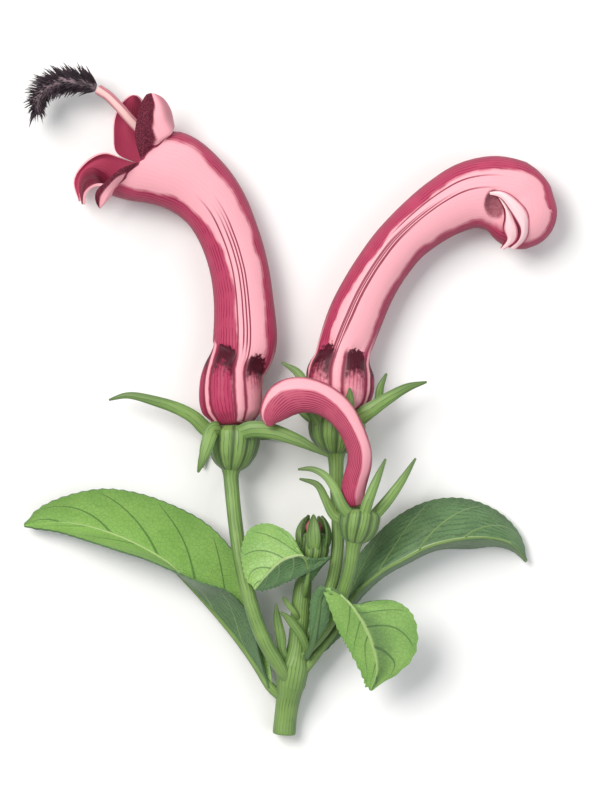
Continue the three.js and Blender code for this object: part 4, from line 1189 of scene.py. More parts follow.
def make_finishes() -> Finishes:
    """Builds every material from its finish."""
    effects = Effects(nerve_lines(), blade_veins(), rib_shade(), pouch_shade(), mottle())
    rose = {"pale": (0.84, 0.39, 0.44), "deep": (0.4, 0.03, 0.092), "line": (0.2, 0.006, 0.038), "hollow_shade": (0.045, 0.0015, 0.008)}
    # The inside is a darker copy of the petal colours: painted shade inside the tube and on the lobes' inner faces.
    inner = {"pale": (0.4, 0.045, 0.1), "deep": (0.2, 0.014, 0.04), "line": (0.07, 0.004, 0.014), "hollow_shade": (0.05, 0.003, 0.01)}
    green = {"body": (0.2, 0.33, 0.08), "dark": (0.08, 0.17, 0.035), "line": (0.03, 0.06, 0.016)}
    upper = {"body": (0.25, 0.44, 0.1), "dark": (0.15, 0.32, 0.06), "vein": (0.03, 0.09, 0.018), "midrib": (0.36, 0.5, 0.18), "gloss": 0.36}
    # The undersides are much darker than the upper faces: painted shade.
    lower = {"body": (0.085, 0.19, 0.06), "dark": (0.03, 0.08, 0.026), "vein": (0.2, 0.3, 0.12), "midrib": (0.4, 0.5, 0.24), "gloss": 0.5}
    return Finishes(
        stem=StalkFinish("stem_green", count=24.0, width=0.34, line_strength=0.6, **green).build(effects),
        cut=GrainFinish("cut_pith", (0.62, 0.62, 0.36), (0.42, 0.45, 0.2), 0.6, 1.4).build(effects),
        stalk=StalkFinish("stalk_green", count=15.0, width=0.3, line_strength=0.55, **green).build(effects),
        leaf_upper=LeafFinish("leaf_upper", shade_hatching=0.12, **upper).build(effects),
        leaf_lower_shaded=LeafFinish("leaf_lower_shaded", shade_hatching=0.75, relief=1.0, **lower).build(effects),
        small_upper=LeafFinish("small_leaf_upper", width=0.09, shade_hatching=0.1, **upper).build(effects),
        small_lower_shaded=LeafFinish("small_leaf_lower_shaded", width=0.09, shade_hatching=0.75, relief=1.0, **lower).build(effects),
        front_upper=LeafFinish("front_leaf_upper", width=0.09, shade_hatching=0.1, veins=8.0, shift=3.4, sweep=0.2, fold_shade=0.7, **upper).build(effects),
        # A darker copy of the stalk green: painted shade on the front leaf's midrib, under its fold.
        front_rib_shaded=StalkFinish("front_rib_shaded", (0.11, 0.22, 0.07), (0.05, 0.12, 0.03), (0.03, 0.06, 0.016)).build(effects),
        seed_case=StalkFinish("seed_case", count=34.0, width=0.34, line_strength=0.6, grooves=0.8, **green).build(effects),
        sepal=StalkFinish("sepal", count=9.0, width=0.28, line_strength=0.6, tip=0.5, **green).build(effects),
        petal_open=PetalFinish(
            "petal_open", near_edge=(0.16, 0.3), far_edge=(0.62, 0.8), near_thins=0.44, waist=0.34, band=0.95,
            long_lines=((0.22, 0.34, 0.84), (0.04, 0.34, 0.79), (-0.07, 0.34, 0.79), (-0.17, 0.34, 0.81)), **rose
        ).build(effects),
        petal_inside_shaded=PetalFinish("petal_inside_shaded", nerves=60.0, **inner).build(effects),
        petal_closed=PetalFinish(
            "petal_closed", near_edge=(0.6, 0.72), far_edge=(0.68, 0.84), bulge=0.15, hood_end_shade=0.56, waist=0.272, band=0.95, hollow_shade_lift=0.022,
            long_lines=(
                (0.33, 0.27, 0.64), (0.285, 0.27, 0.7), (0.22, 0.27, 0.75), (0.14, 0.27, 0.84), (0.1, 0.36, 0.66),
                (0.47, 0.6, 0.85)
            ), **rose
        ).build(effects),
        petal_lip=PetalFinish(
            "petal_lip", (0.9, 0.6, 0.62), (0.6, 0.12, 0.2), (0.16, 0.006, 0.03), (0.07, 0.01, 0.02), near_edge=(0.45, 0.95),
            far_edge=(0.6, 1.0), nerves=14.0, rim=0.95
        ).build(effects),
        petal_young=PetalFinish(
            "petal_young", near_edge=(-0.25, -0.08), far_edge=(0.8, 1.0), near_thins=-0.46, nerves=44.0, line_strength=0.9, base_shade=0.5, **rose
        ).build(effects),
        petal_small=PetalFinish("petal_small", nerves=24.0, **rose).build(effects),
        column=PetalFinish(
            "column", (0.8, 0.5, 0.48), (0.52, 0.16, 0.2), (0.25, 0.04, 0.08), (0.1, 0.02, 0.03), near_edge=(0.5, 0.9),
            far_edge=(0.2, 0.7), nerves=10.0
        ).build(effects),
        anther=GrainFinish("anther", (0.26, 0.17, 0.2), (0.1, 0.06, 0.08), 0.5).build(effects),
        bristle=GrainFinish("bristle", (0.045, 0.022, 0.034), (0.012, 0.006, 0.011), 0.42).build(effects),
    )


def dress(piece: bpy.types.Object, *materials: bpy.types.Material) -> bpy.types.Object:
    """Gives a piece its materials, in order."""
    piece.data.materials.clear()
    for material in materials:
        piece.data.materials.append(material)
    return piece


def hand_over(piece: bpy.types.Object, node: str, slot: Slot) -> None:
    """Brings a finished piece to metres and into its node's place.

    Args:
        piece: The piece, in millimetres.
        node: The node that it stands for.
        slot: Not used.
    """
    enter_edit(piece)
    bpy.ops.mesh.select_all(action="SELECT")
    stretch(Vector((METRES, METRES, METRES)), Matrix.Identity(3), Vector())
    bpy.ops.object.mode_set(mode="OBJECT")
    bpy.ops.object.shade_smooth_by_angle(angle=math.radians(65.0))
    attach(piece, "root")
    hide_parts(node)
    log.info("%s: %d faces", piece.name, len(piece.data.polygons))


def spread(count: int) -> list[float]:
    """Even shares from -1 to 1."""
    return [-1.0 + 2.0 * i / (count - 1) for i in range(count)]


@dataclass
class Stem:
    """The stem from its cut end to the top of the leafy shoot."""

    rows: Sequence[Row] = (
    (56.8, 13.0, 2.2, 2.35, 2.3), (57.1, 16.4, 2.6, 2.3, 2.3), (57.7, 20.6, 4.0, 2.5, 2.5),
    (58.3, 24.0, 5.2, 3.0, 2.8), (58.8, 26.2, 5.8, 3.0, 2.6), (59.2, 28.6, 6.2, 2.3, 2.2),
    (59.6, 32.0, 6.4, 1.95, 1.85), (60.0, 36.4, 6.6, 1.95, 1.8), (60.3, 40.4, 6.8, 1.9, 1.75),
    (60.7, 43.4, 7.0, 1.7, 1.6), (61.0, 44.8, 7.1, 1.1, 1.1),
)
    rim: float = 0.14
    sunk: float = 0.12

    def build(self, finishes: Finishes) -> None:
        """Grows the stem with its knee rings and its clean cut."""
        loft = Loft("stem_skin", self.rows, 54, 24)
        for index, share in enumerate(loft.shares):
            swell = sum(math.exp(-(((share - knee) / 0.012) ** 2)) for knee in (0.275, 0.44, 0.475))
            if swell > 0.05:
                pick(loft.piece, loft.ring(index))
                stretch(Vector((1.0 + 0.07 * swell, 1.0 + 0.07 * swell, 1.0)), loft.places[index].basis(), loft.places[index].centre)
        loft.round_end(last=True, reach=0.5)
        loft.cut_end(self.rim, self.sunk)
        piece = dress(loft.finish(), finishes.stem, finishes.cut)
        start = loft.places[0]
        for face in piece.data.polygons:
            off = face.center - start.centre
            if abs(off.dot(start.ahead)) < 0.3 and (off - start.ahead * off.dot(start.ahead)).length < start.half_width * 0.86:
                face.material_index = 1
        hand_over(piece, "stem", Slot.STEM)


@dataclass
class Stalk:
    """One flower stalk."""

    node: str
    rows: Sequence[Row]
    rings: int = 30

    def build(self, finishes: Finishes) -> None:
        """Grows the stalk with a slight joint at both ends."""
        loft = Loft(f"{self.node}_skin", self.rows, self.rings, 16)
        loft.round_end(last=True, reach=0.2)
        loft.round_end(last=False, reach=0.3)
        hand_over(dress(loft.finish(), finishes.stalk), self.node, Slot.STALK)


@dataclass
class Leaf:
    """One leaf with raised veins below, a toothed edge and a swollen surface between its veins."""

    node: str
    rails: Rails
    slot: Slot
    upper: str
    lower: str
    rows: int = 72
    columns: int = 19
    tooth: float = 0.5
    bow: float = 0.5
    quilt: float = 0.3
    thickness: float = 0.36
    stalk_half: float = 1.0
    tip_half: float = 0.16
    root: Row = (0.0, 0.0, 0.0)
    veins: int = 6
    sweep: float = 0.24
    shift: float = 0.8
    shaded_half: bool = False
    rib: str = "stalk"

    def build(self, finishes: Finishes) -> None:
        """Grows the blade, then its midrib and side veins."""
        surface_form = BladeSurface(self.rails, self.bow, self.quilt, self.veins, self.sweep, self.shift)
        shares = spread(self.columns)
        blade = Blade(f"{self.node}_blade", surface_form.grid(self.rows, shares, self.tooth), shares)
        lower, upper = getattr(finishes, self.lower), getattr(finishes, self.upper)
        dress(blade.piece, lower, upper, lower, lower)
        # Painted shade: faces of the half with positive across get the dark underside finish on the upper face too.
        if self.shaded_half:
            across = blade.piece.data.attributes[Mark.ACROSS.value].data
            for face in blade.piece.data.polygons:
                if sum(across[vertex].value for vertex in face.vertices) > 0.0:
                    face.material_index = 2
        parts = [blade.finish(self.thickness, under=1), self._midrib(surface_form, finishes)]
        parts += self._side_veins(surface_form, finishes)
        piece = join(f"{self.node}_blade", parts)
        rest_on_floor(piece)
        hand_over(piece, self.node, self.slot)

    def _below(self, surface_form: BladeSurface, u: float, share: float, half: float) -> Row:
        """A row of a vein that lies on the lower face."""
        lift = surface_form.frame_at(u)[3]
        place = surface_form.place(u, share) + lift * (self.thickness / 2 + half * 0.2) + SHEET_MIDDLE
        return (*place, half, half * 0.8)

    def _midrib(self, surface_form: BladeSurface, finishes: Finishes) -> bpy.types.Object:
        """The midrib, thick at the leaf's stalk and thin at its tip."""
        rows = [(*self.root, self.stalk_half, self.stalk_half)]
        for i in range(15):
            u = i / 14 * 0.985
            half = self.tip_half + (self.stalk_half - self.tip_half) * (0.25 * (1.0 - u) + 0.75 * (1.0 - u) ** 5)
            rows.append(self._below(surface_form, u, 0.0, half))
        loft = Loft(f"{self.node}_midrib", rows, 42, 10)
        loft.round_end(last=True, reach=0.1)
        loft.round_end(last=False, reach=0.2)
        return dress(loft.finish(levels=0), getattr(finishes, self.rib))

    def _side_veins(self, surface_form: BladeSurface, finishes: Finishes) -> list[bpy.types.Object]:
        """Thin raised veins from the midrib to near the edge."""
        made = []
        for side in (-1.0, 1.0):
            for number in range(self.veins + 1):
                start = (number + self.shift + (0.5 if side < 0.0 else 0.0)) / self.veins
                rows = []
                for step in range(6):
                    reach = 0.04 + 0.82 * step / 5
                    u = start + self.sweep * reach**1.15
                    if u < 0.97:
                        rows.append(self._below(surface_form, u, side * reach, 0.17 - 0.11 * reach))
                if len(rows) >= 4:
                    loft = Loft(f"{self.node}_vein", rows, 12, 6)
                    loft.round_end(last=True, reach=0.05)
                    loft.round_end(last=False, reach=0.05)
                    made.append(dress(loft.finish(levels=0), finishes.stalk))
        return made


def sepal_blade(name: str, rows: Sequence[Row], steps: int = 16, thickness: float = 0.34) -> bpy.types.Object:
    """A narrow pointed blade with a folded middle, along rows of place and half width.

    Args:
        name: Name of the piece.
        rows: Rows of its route.
        steps: Steps from root to tip.
        thickness: Thickness in millimetres.

    Returns:
        The blade.
    """
    route = Route(rows)
    shares = spread(7)
    grid = []
    for i in range(steps + 1):
        ring = route.ring(i / steps)
        fold = 0.28 * ring.half_width
        grid.append(
            [ring.centre + ring.side * (-share * ring.half_width) + ring.up * (fold * (0.5 - share * share)) for share in shares]
        )
    blade = Blade(name, grid, shares)
    return blade.finish(thickness)


@dataclass
class AxilLeaf:
    """One tiny leaf in the axil."""

    node: str
    rows: Sequence[Row]

    def build(self, finishes: Finishes) -> None:
        """Grows the leaf as one folded blade."""
        piece = dress(sepal_blade(f"{self.node}_blade", self.rows, 14, 0.4), finishes.sepal)
        hand_over(piece, self.node, Slot.LEAF_SMALL)


@dataclass
class Calyx:
    """A ribbed seed case with its five pointed sepals."""

    node: str
    cup: Sequence[Row]
    sepals: Sequence[Sequence[Row]]
    rings: int = 18
    rib: float = 0.055

    def build(self, finishes: Finishes) -> None:
        """Grows the case and its sepals and joins them."""
        loft = Loft(f"{self.node}_case", self.cup, self.rings, 40)
        loft.swell(lambda share, angle: self.rib * math.sin(math.pi * share) ** 0.5 * math.cos(RIBS * angle), RIBS)
        loft.round_end(last=True, reach=0.25)
        loft.round_end(last=False, reach=0.2)
        parts = [dress(loft.finish(), finishes.seed_case)]
        for number, rows in enumerate(self.sepals):
            parts.append(dress(sepal_blade(f"{self.node}_sepal_{number}", rows), finishes.sepal))
        piece = join(f"{self.node}_case", parts)
        rest_on_floor(piece)
        hand_over(piece, self.node, Slot.CALYX)


def small_bud_sepals() -> list[list[Row]]:
    """Rows of the five narrow sepals that stand close round the small bud."""
    sepals = []
    for number, length in enumerate((4.4, 4.6, 4.1, 4.5, 4.3)):
        angle = 2.0 * math.pi * (number + 0.25) / 5
        roll = -(math.degrees(angle) + 90.0)
        rows = []
        for out, rise, half in ((2.2, -0.4, 0.8), (2.8, -0.12, 1.25), (3.0, 0.2, 1.45), (3.0, 0.55, 1.25), (2.4, 0.95, 0.75), (1.7, 1.2, 0.2)):
            place = (62.7 + out * math.cos(angle), 51.6 + length * rise, 7.5 + out * math.sin(angle))
            rows.append((*place, half, 0.4, 0.0, roll))
        sepals.append(rows)
    return sepals


@dataclass
class OpenCorolla:
    """The open corolla: ribbed base, bent tube and five lobes grown out of its rim."""

    rows: Sequence[Row] = (
    (46.7, 75.6, 6.2, 4.2, 4.1, 0.0, 18.0), (46.6, 77.6, 6.1, 5.9, 5.6, 0.0, 18.0), (46.4, 80.4, 6.0, 6.4, 5.9, 0.0, 18.0),
    (46.5, 83.4, 5.9, 6.3, 5.8, 0.0, 15.0), (47.2, 86.6, 5.7, 5.95, 5.6, 0.0, 8.0), (48.5, 89.4, 5.4, 6.3, 5.5, 0.0, 2.0),
    (49.0, 92.2, 5.3, 6.45, 5.5), (48.7, 100.0, 5.2, 6.0, 5.5), (47.8, 106.4, 5.2, 5.9, 5.5),
    (45.8, 113.0, 5.2, 6.0, 5.5), (42.8, 119.0, 5.5, 6.5, 5.7), (38.8, 123.2, 5.8, 7.2, 5.95, 0.8),
    (34.0, 125.9, 6.3, 7.9, 6.3, 2.6), (28.0, 127.4, 6.7, 7.7, 6.6, 4.9),
)
    lobes: Sequence[Rails] = (
    Rails(
        left=(
            (28.0, 126.9, 12.7), (27.0, 132.0, 12.6), (27.5, 136.0, 12.0), (28.2, 139.0, 11.2), (29.3, 140.9, 10.8),
        ),
        middle=(
            (32.4, 131.2, 11.0), (31.4, 134.6, 12.4), (30.9, 138.2, 11.8), (30.3, 141.2, 10.6),
        ),
        right=(
            (35.2, 132.9, 6.8), (34.8, 136.2, 8.0), (33.9, 138.7, 9.0), (32.6, 140.4, 9.9), (31.4, 141.0, 10.3),
        ),
    ),
    Rails(
        left=(
            (34.8, 133.0, 5.8), (31.0, 136.0, 4.8), (28.9, 138.8, 4.2), (28.4, 140.3, 3.7), (27.6, 141.0, 3.4),
        ),
        middle=(
            (32.6, 131.2, 2.0), (27.8, 133.4, 2.0), (26.0, 137.8, 2.4), (26.7, 141.2, 3.1),
        ),
        right=(
            (28.4, 126.9, 0.8), (23.3, 129.4, 1.2), (22.5, 133.2, 1.6), (22.8, 137.0, 2.0), (24.2, 139.8, 2.6),
            (25.6, 141.0, 3.0),
        ),
    ),
    Rails(
        left=(
            (30.4, 128.6, 0.8), (25.0, 129.6, 1.2), (21.2, 130.0, 1.8), (17.2, 128.2, 2.4), (14.4, 124.0, 3.0),
            (15.7, 119.8, 3.6),
        ),
        middle=(
            (26.6, 125.6, 0.9), (21.4, 127.8, 1.5), (16.4, 125.4, 2.7), (15.9, 119.8, 3.7),
        ),
        right=(
            (23.2, 122.4, 2.8), (19.4, 125.0, 3.4), (16.8, 123.6, 4.0), (16.1, 119.9, 3.9),
        ),
    ),
    Rails(
        left=(
            (23.4, 122.6, 3.6), (19.8, 126.2, 3.9), (17.2, 126.2, 4.4), (15.9, 123.0, 5.4), (16.7, 119.2, 6.8),
        ),
        middle=(
            (22.4, 121.6, 6.6), (19.4, 124.2, 6.8), (17.0, 123.2, 7.2), (16.9, 119.1, 7.2),
        ),
        right=(
            (23.4, 122.6, 9.8), (21.0, 122.9, 9.6), (18.8, 122.5, 9.2), (17.3, 121.2, 8.6), (17.1, 119.1, 7.6),
        ),
    ),
    Rails(
        left=(
            (23.4, 122.2, 9.8), (22.6, 120.8, 11.8), (21.6, 119.6, 12.6), (20.4, 118.2, 12.4),
        ),
        middle=(
            (25.6, 124.6, 12.1), (23.0, 123.2, 13.8), (21.2, 120.8, 13.8), (20.2, 118.1, 12.6),
        ),
        right=(
            (28.0, 126.4, 12.7), (23.8, 125.5, 14.0), (21.4, 123.4, 14.3), (19.4, 121.6, 13.6),
            (19.2, 119.6, 13.0), (20.0, 118.2, 12.7),
        ),
    ),
)
    spans: Sequence[tuple[int, int]] = ((10, 20), (20, 30), (30, 36), (36, 44), (4, 10))
    bows: Sequence[float] = (0.5, 0.6, 0.5, 0.5, 0.3)
    wall: float = 0.5
    base: PouchedBase = PouchedBase(0.34)
    cuff: float = 1.1

    def build(self, finishes: Finishes) -> None:
        """Grows the tube, its lobes and its wall."""
        loft = Loft("corolla_open_petals", self.rows, 56, 40)
        loft.swell(self.base.gain, LOBES)
        for rails, span, bow in zip(self.lobes, self.spans, self.bows):
            self._grow_lobe(loft, rails, span, bow)
        loft.round_end(last=False, reach=0.9)
        piece = dress(loft.finish(keep_open=True), finishes.petal_open, finishes.petal_inside_shaded)
        refine(piece, 1)
        apply_modifier(
            piece, "SOLIDIFY", thickness=self.wall, offset=-1.0, use_even_offset=False, material_offset=1, material_offset_rim=0
        )
        rest_on_floor(piece)
        hand_over(piece, "corolla_open", Slot.COROLLA_OPEN)

    def _grow_lobe(self, loft: Loft, rails: Rails, span: tuple[int, int], bow: float) -> None:
        """Extrudes a stretch of the rim, row by row, into one lobe.

        Args:
            loft: The tube, in edit mode.
            rails: The lobe's rails.
            span: First and last vertex of the stretch.
            bow: Height by which the lobe swells.
        """
        form = BladeSurface(rails, bow, rounded=1.0)
        rim = loft.ring(len(loft.shares) - 1)
        row = [rim[number % loft.sides] for number in range(span[0], span[1] + 1)]
        shares = spread(len(row))
        mesh = bmesh.from_edit_mesh(loft.piece.data)
        mesh.verts.ensure_lookup_table()
        gaps = [mesh.verts[index].co - form.place(0.0, share) for index, share in zip(row, shares)]
        steps = 12
        first, last = rails is self.lobes[0], rails is self.lobes[-1]
        for step in range(1, steps + 1):
            pick(loft.piece, row)
            extrude_here()
            fresh = picked(loft.piece)
            order = sorted(range(len(row)), key=lambda place: row[place])
            row = [fresh[order.index(place)] for place in range(len(row))]
            fade = 1.0 - ramp(step / steps, 0.0, 0.55)
            for place, (index, share) in enumerate(zip(row, shares)):
                goal = form.place(step / steps, share) + gaps[place] * fade
                # Painted shade, carried by the hollow mark: a strip along one edge of the last lobe, and the left part
                # of the first lobe up to a border that moves along it.
                shade = ramp(share, 0.25, 0.5) if last else 0.0
                if first:
                    goal = goal + self._cuff_offset(form, step / steps, share)
                    border = -0.52 + 0.6 * min(1.0, 1.3 * step / steps)
                    shade = 1.0 - ramp(share, border - 0.12, border + 0.12)
                pull_to(loft.piece, index, goal)
                angle = 2.0 * math.pi * ((span[0] + place) % loft.sides) / loft.sides
                loft.more_marks[index] = (1.0 + step / steps, math.cos(angle), math.sin(angle), shade)

    def _cuff_offset(self, form: BladeSurface, u: float, share: float) -> Vector:
        """How far the near upper lobe is rolled back over the rim.

        Args:
            form: The lobe's surface.
            u: Share of its length.
            share: Share of its half width.

        Returns:
            The offset: outwards and back at the wavy fold, fading to nothing along the shaded left part.
        """
        lift = form.frame_at(u)[3]
        back = -form.ahead(u)
        wave = 0.75 + 0.35 * math.sin(4.5 * share + 0.6)
        fold = self.cuff * math.exp(-(((u - 0.17) / 0.1) ** 2)) * ramp(share, -0.75, -0.3) * wave
        return lift * fold + back * fold * 0.9


def trace(piece: bpy.types.Object, route: Route, hollow: Callable[[Vector], float]) -> None:
    """Marks every vertex by the nearest place of a route and its angle round it.

    Args:
        piece: The piece, in object mode.
        route: The route with its ring sizes.
        hollow: Depth of shade at a place.
    """
    count = 240
    rings = [route.ring(i / count) for i in range(count + 1)]
    centres = np.array([ring.centre for ring in rings])
    marks = {}
    for index, vertex in enumerate(piece.data.vertices):
        near = int(np.argmin(((centres - np.array(vertex.co)) ** 2).sum(axis=1)))
        off = vertex.co - rings[near].centre
        aside, beyond = off.dot(rings[near].side), off.dot(rings[near].ahead)
        level = math.copysign(math.hypot(aside, beyond), aside) / rings[near].half_width
        flat = Vector((level, off.dot(rings[near].up) / rings[near].half_height))
        flat = flat.normalized() if flat.length > 1e-6 else Vector((0.0, 1.0))
        hood = ramp(near / count, 0.88, 0.96)
        over = flat.y + (vertex.normal.z - flat.y) * hood
        marks[index] = (near / count, math.copysign(math.sqrt(max(0.0, 1.0 - over * over)), flat.x), over, hollow(vertex.co))
    write_marks(piece, marks)


@dataclass
class ClosedCorolla:
    """The corolla that is still shut: ribbed base, bent tube, hooded tip and parting lips."""

    rows: Sequence[Row] = (
    (67.7, 78.1, 6.3, 4.2, 4.0, 0.0, -7.0), (67.8, 79.6, 6.2, 6.0, 5.4, 0.0, -7.0), (67.9, 82.4, 6.1, 6.75, 5.9, 0.0, -7.0),
    (68.0, 85.4, 6.0, 6.7, 5.85, 0.0, -7.0), (68.5, 88.2, 5.7, 5.8, 5.6, 0.0, -7.0), (69.1, 91.0, 5.4, 5.45, 5.4, 0.0, -4.0),
    (71.0, 96.4, 5.2, 5.55, 5.4), (73.6, 102.0, 5.1, 5.3, 5.4), (76.5, 106.8, 5.1, 5.15, 5.4),
    (80.2, 111.6, 5.1, 5.15, 5.4), (84.5, 115.5, 5.2, 5.5, 5.4), (89.4, 118.9, 5.3, 6.1, 5.5),
    (94.4, 121.1, 5.5, 6.9, 5.6), (99.2, 121.3, 5.6, 7.6, 5.7), (103.4, 120.6, 5.7, 7.3, 5.6),
    (106.6, 119.4, 5.8, 5.9, 4.8), (108.8, 118.4, 5.9, 4.3, 3.4),
)
    hood_centre: Row = (104.1, 117.5, 5.9)
    hood_radii: Row = (7.5, 7.4, 5.75)
    hood_evening: int = 40
    recess_centre: Row = (98.6, 118.4, 12.2)
    recess_radii: Row = (2.1, 3.6, 2.6)
    base: PouchedBase = PouchedBase(0.272, 0.03)
    lips: Sequence[Rails] = (
        Rails(
            left=(
                (98.0, 121.0, 11.0), (100.0, 120.2, 11.7), (101.6, 118.0, 12.1), (102.8, 116.0, 12.2), (103.8, 114.0, 11.9),
                (103.4, 112.0, 11.0), (101.8, 110.5, 9.9),
            ),
            middle=(
                (97.9, 121.2, 11.1), (99.9, 121.0, 11.9), (101.8, 119.4, 12.5), (103.4, 117.6, 12.6), (104.6, 115.4, 12.2),
                (104.4, 112.6, 11.2), (102.3, 110.3, 9.9),
            ),
            right=(
                (97.8, 121.4, 11.0), (99.6, 121.8, 11.5), (101.6, 121.2, 11.7), (103.6, 119.6, 11.7), (105.4, 117.4, 11.4),
                (105.6, 114.6, 10.9), (105.2, 112.2, 10.2), (102.9, 110.1, 9.6),
            ),
        ),
        Rails(
            left=(
                (99.2, 120.6, 11.1), (100.4, 119.0, 11.6), (100.8, 116.4, 11.7), (100.4, 114.2, 11.2), (101.2, 112.2, 10.4),
                (100.0, 110.3, 9.6),
            ),
            middle=(
                (99.4, 120.5, 11.1), (100.9, 118.6, 11.7), (101.7, 116.2, 11.9), (102.0, 113.8, 11.4), (102.1, 112.0, 10.5),
                (100.3, 110.2, 9.6),
            ),
            right=(
                (99.6, 120.4, 11.0), (101.5, 118.4, 11.5), (102.7, 116.2, 11.6), (103.6, 113.8, 11.2), (103.2, 111.8, 10.3),
                (100.7, 110.1, 9.5),
            ),
        ),
    )

    def build(self, finishes: Finishes) -> None:
        """Grows the tube, joins its hood, opens the recess and adds the lips."""
        loft = Loft("corolla_closed_petals", self.rows, 64, 40)
        loft.swell(self.base.gain, LOBES)
        loft.round_end(last=True, reach=0.8)
        loft.round_end(last=False, reach=0.9)
        body = loft.finish(levels=0)
        self._combine(body, self._egg(self.hood_centre, self.hood_radii), "UNION")
        self._combine(body, self._egg(self.recess_centre, self.recess_radii), "DIFFERENCE")
        apply_modifier(body, "REMESH", mode="VOXEL", voxel_size=0.3, use_smooth_shade=True)
        apply_modifier(body, "SMOOTH", factor=0.5, iterations=6)
        self._even_hood(body)
        for mark in Mark:
            if mark.value in body.data.attributes:
                body.data.attributes.remove(body.data.attributes[mark.value])
        trace(body, loft.route, self._shade)
        dress(body, finishes.petal_closed)
        rest_on_floor(body)
        parts = [body]
        for number, rails in enumerate(self.lips):
            form = BladeSurface(rails, 0.3)
            shares = spread(7)
            lip = Blade(f"lip_{number}", form.grid(18, shares, 0.0), shares)
            parts.append(dress(lip.finish(0.5), finishes.petal_lip))
        hand_over(join("corolla_closed_petals", parts), "corolla_closed", Slot.COROLLA_CLOSED)

    def _even_hood(self, body: bpy.types.Object) -> None:
        """Evens out the joint of tube and hood, beyond the lips."""
        enter_edit(body)
        reach = sheet(self.hood_centre).x + 1.4
        pick(body, [vertex.index for vertex in bmesh.from_edit_mesh(body.data).verts if vertex.co.x > reach])
        bpy.ops.mesh.vertices_smooth(factor=0.5, repeat=self.hood_evening)
        bpy.ops.object.mode_set(mode="OBJECT")

    def _shade(self, place: Vector) -> float:
        """Depth of shade in the recess between the lips."""
        off = place - sheet(self.recess_centre)
        egg = Vector(value / radius for value, radius in zip(off, self.recess_radii))
        return 0.66 * (1.0 - ramp(egg.length, 0.85, 1.3))

    def _egg(self, centre: Row, radii: Row) -> bpy.types.Object:
        """A stretched ball, shaped in edit mode."""
        deselect_all()
        bpy.ops.mesh.primitive_uv_sphere_add(segments=36, ring_count=22, radius=1.0)
        egg = bpy.context.object
        enter_edit(egg)
        bpy.ops.mesh.select_all(action="SELECT")
        stretch(Vector(radii), Matrix.Identity(3), Vector())
        bpy.ops.transform.translate(value=sheet(centre))
        bpy.ops.object.mode_set(mode="OBJECT")
        return egg

    def _combine(self, body: bpy.types.Object, tool: bpy.types.Object, operation: str) -> None:
        """Joins the tool to the body or cuts it away, and removes the tool."""
        apply_modifier(body, "BOOLEAN", operation=operation, object=tool, solver="EXACT")
        bpy.data.objects.remove(tool)


@dataclass
class BudCorolla:
    """The corolla of a bud, as one closed tube."""

    node: str
    rows: Sequence[Row]
    finish: str
    rings: int = 48
    sides: int = 28
    tip: float = 0.5

    def build(self, finishes: Finishes) -> None:
        """Grows the corolla."""
        loft = Loft(f"{self.node}_petals", self.rows, self.rings, self.sides)
        loft.round_end(last=True, reach=self.tip)
        loft.round_end(last=False, reach=0.3)
        hand_over(dress(loft.finish(), getattr(finishes, self.finish)), self.node, Slot.COROLLA_BUD)


@dataclass
class StamenColumn:
    """The pale column of joined stamens."""

    rows: Sequence[Row] = (
    (46.7, 78.35, 6.1, 0.85, 0.85), (47.4, 87.0, 5.9, 0.85, 0.85), (48.9, 97.0, 5.9, 0.9, 0.9),
    (48.2, 107.0, 6.0, 0.9, 0.9), (46.0, 114.5, 6.2, 0.9, 0.9), (42.2, 121.0, 6.6, 0.95, 0.95),
    (37.4, 126.4, 7.0, 1.0, 1.0), (32.0, 130.6, 7.4, 1.05, 1.05), (27.2, 134.8, 7.8, 1.05, 1.05),
    (23.8, 138.6, 8.0, 1.05, 1.05), (21.6, 140.8, 8.0, 1.05, 1.05), (19.6, 142.1, 7.9, 1.1, 1.1),
)

    def build(self, finishes: Finishes) -> None:
        """Grows the column."""
        loft = Loft("stamen_column_skin", self.rows, 70, 16)
        loft.round_end(last=True, reach=0.2)
        loft.round_end(last=False, reach=0.4)
        hand_over(dress(loft.finish(), finishes.column), "stamen_column", Slot.STAMEN_COLUMN)


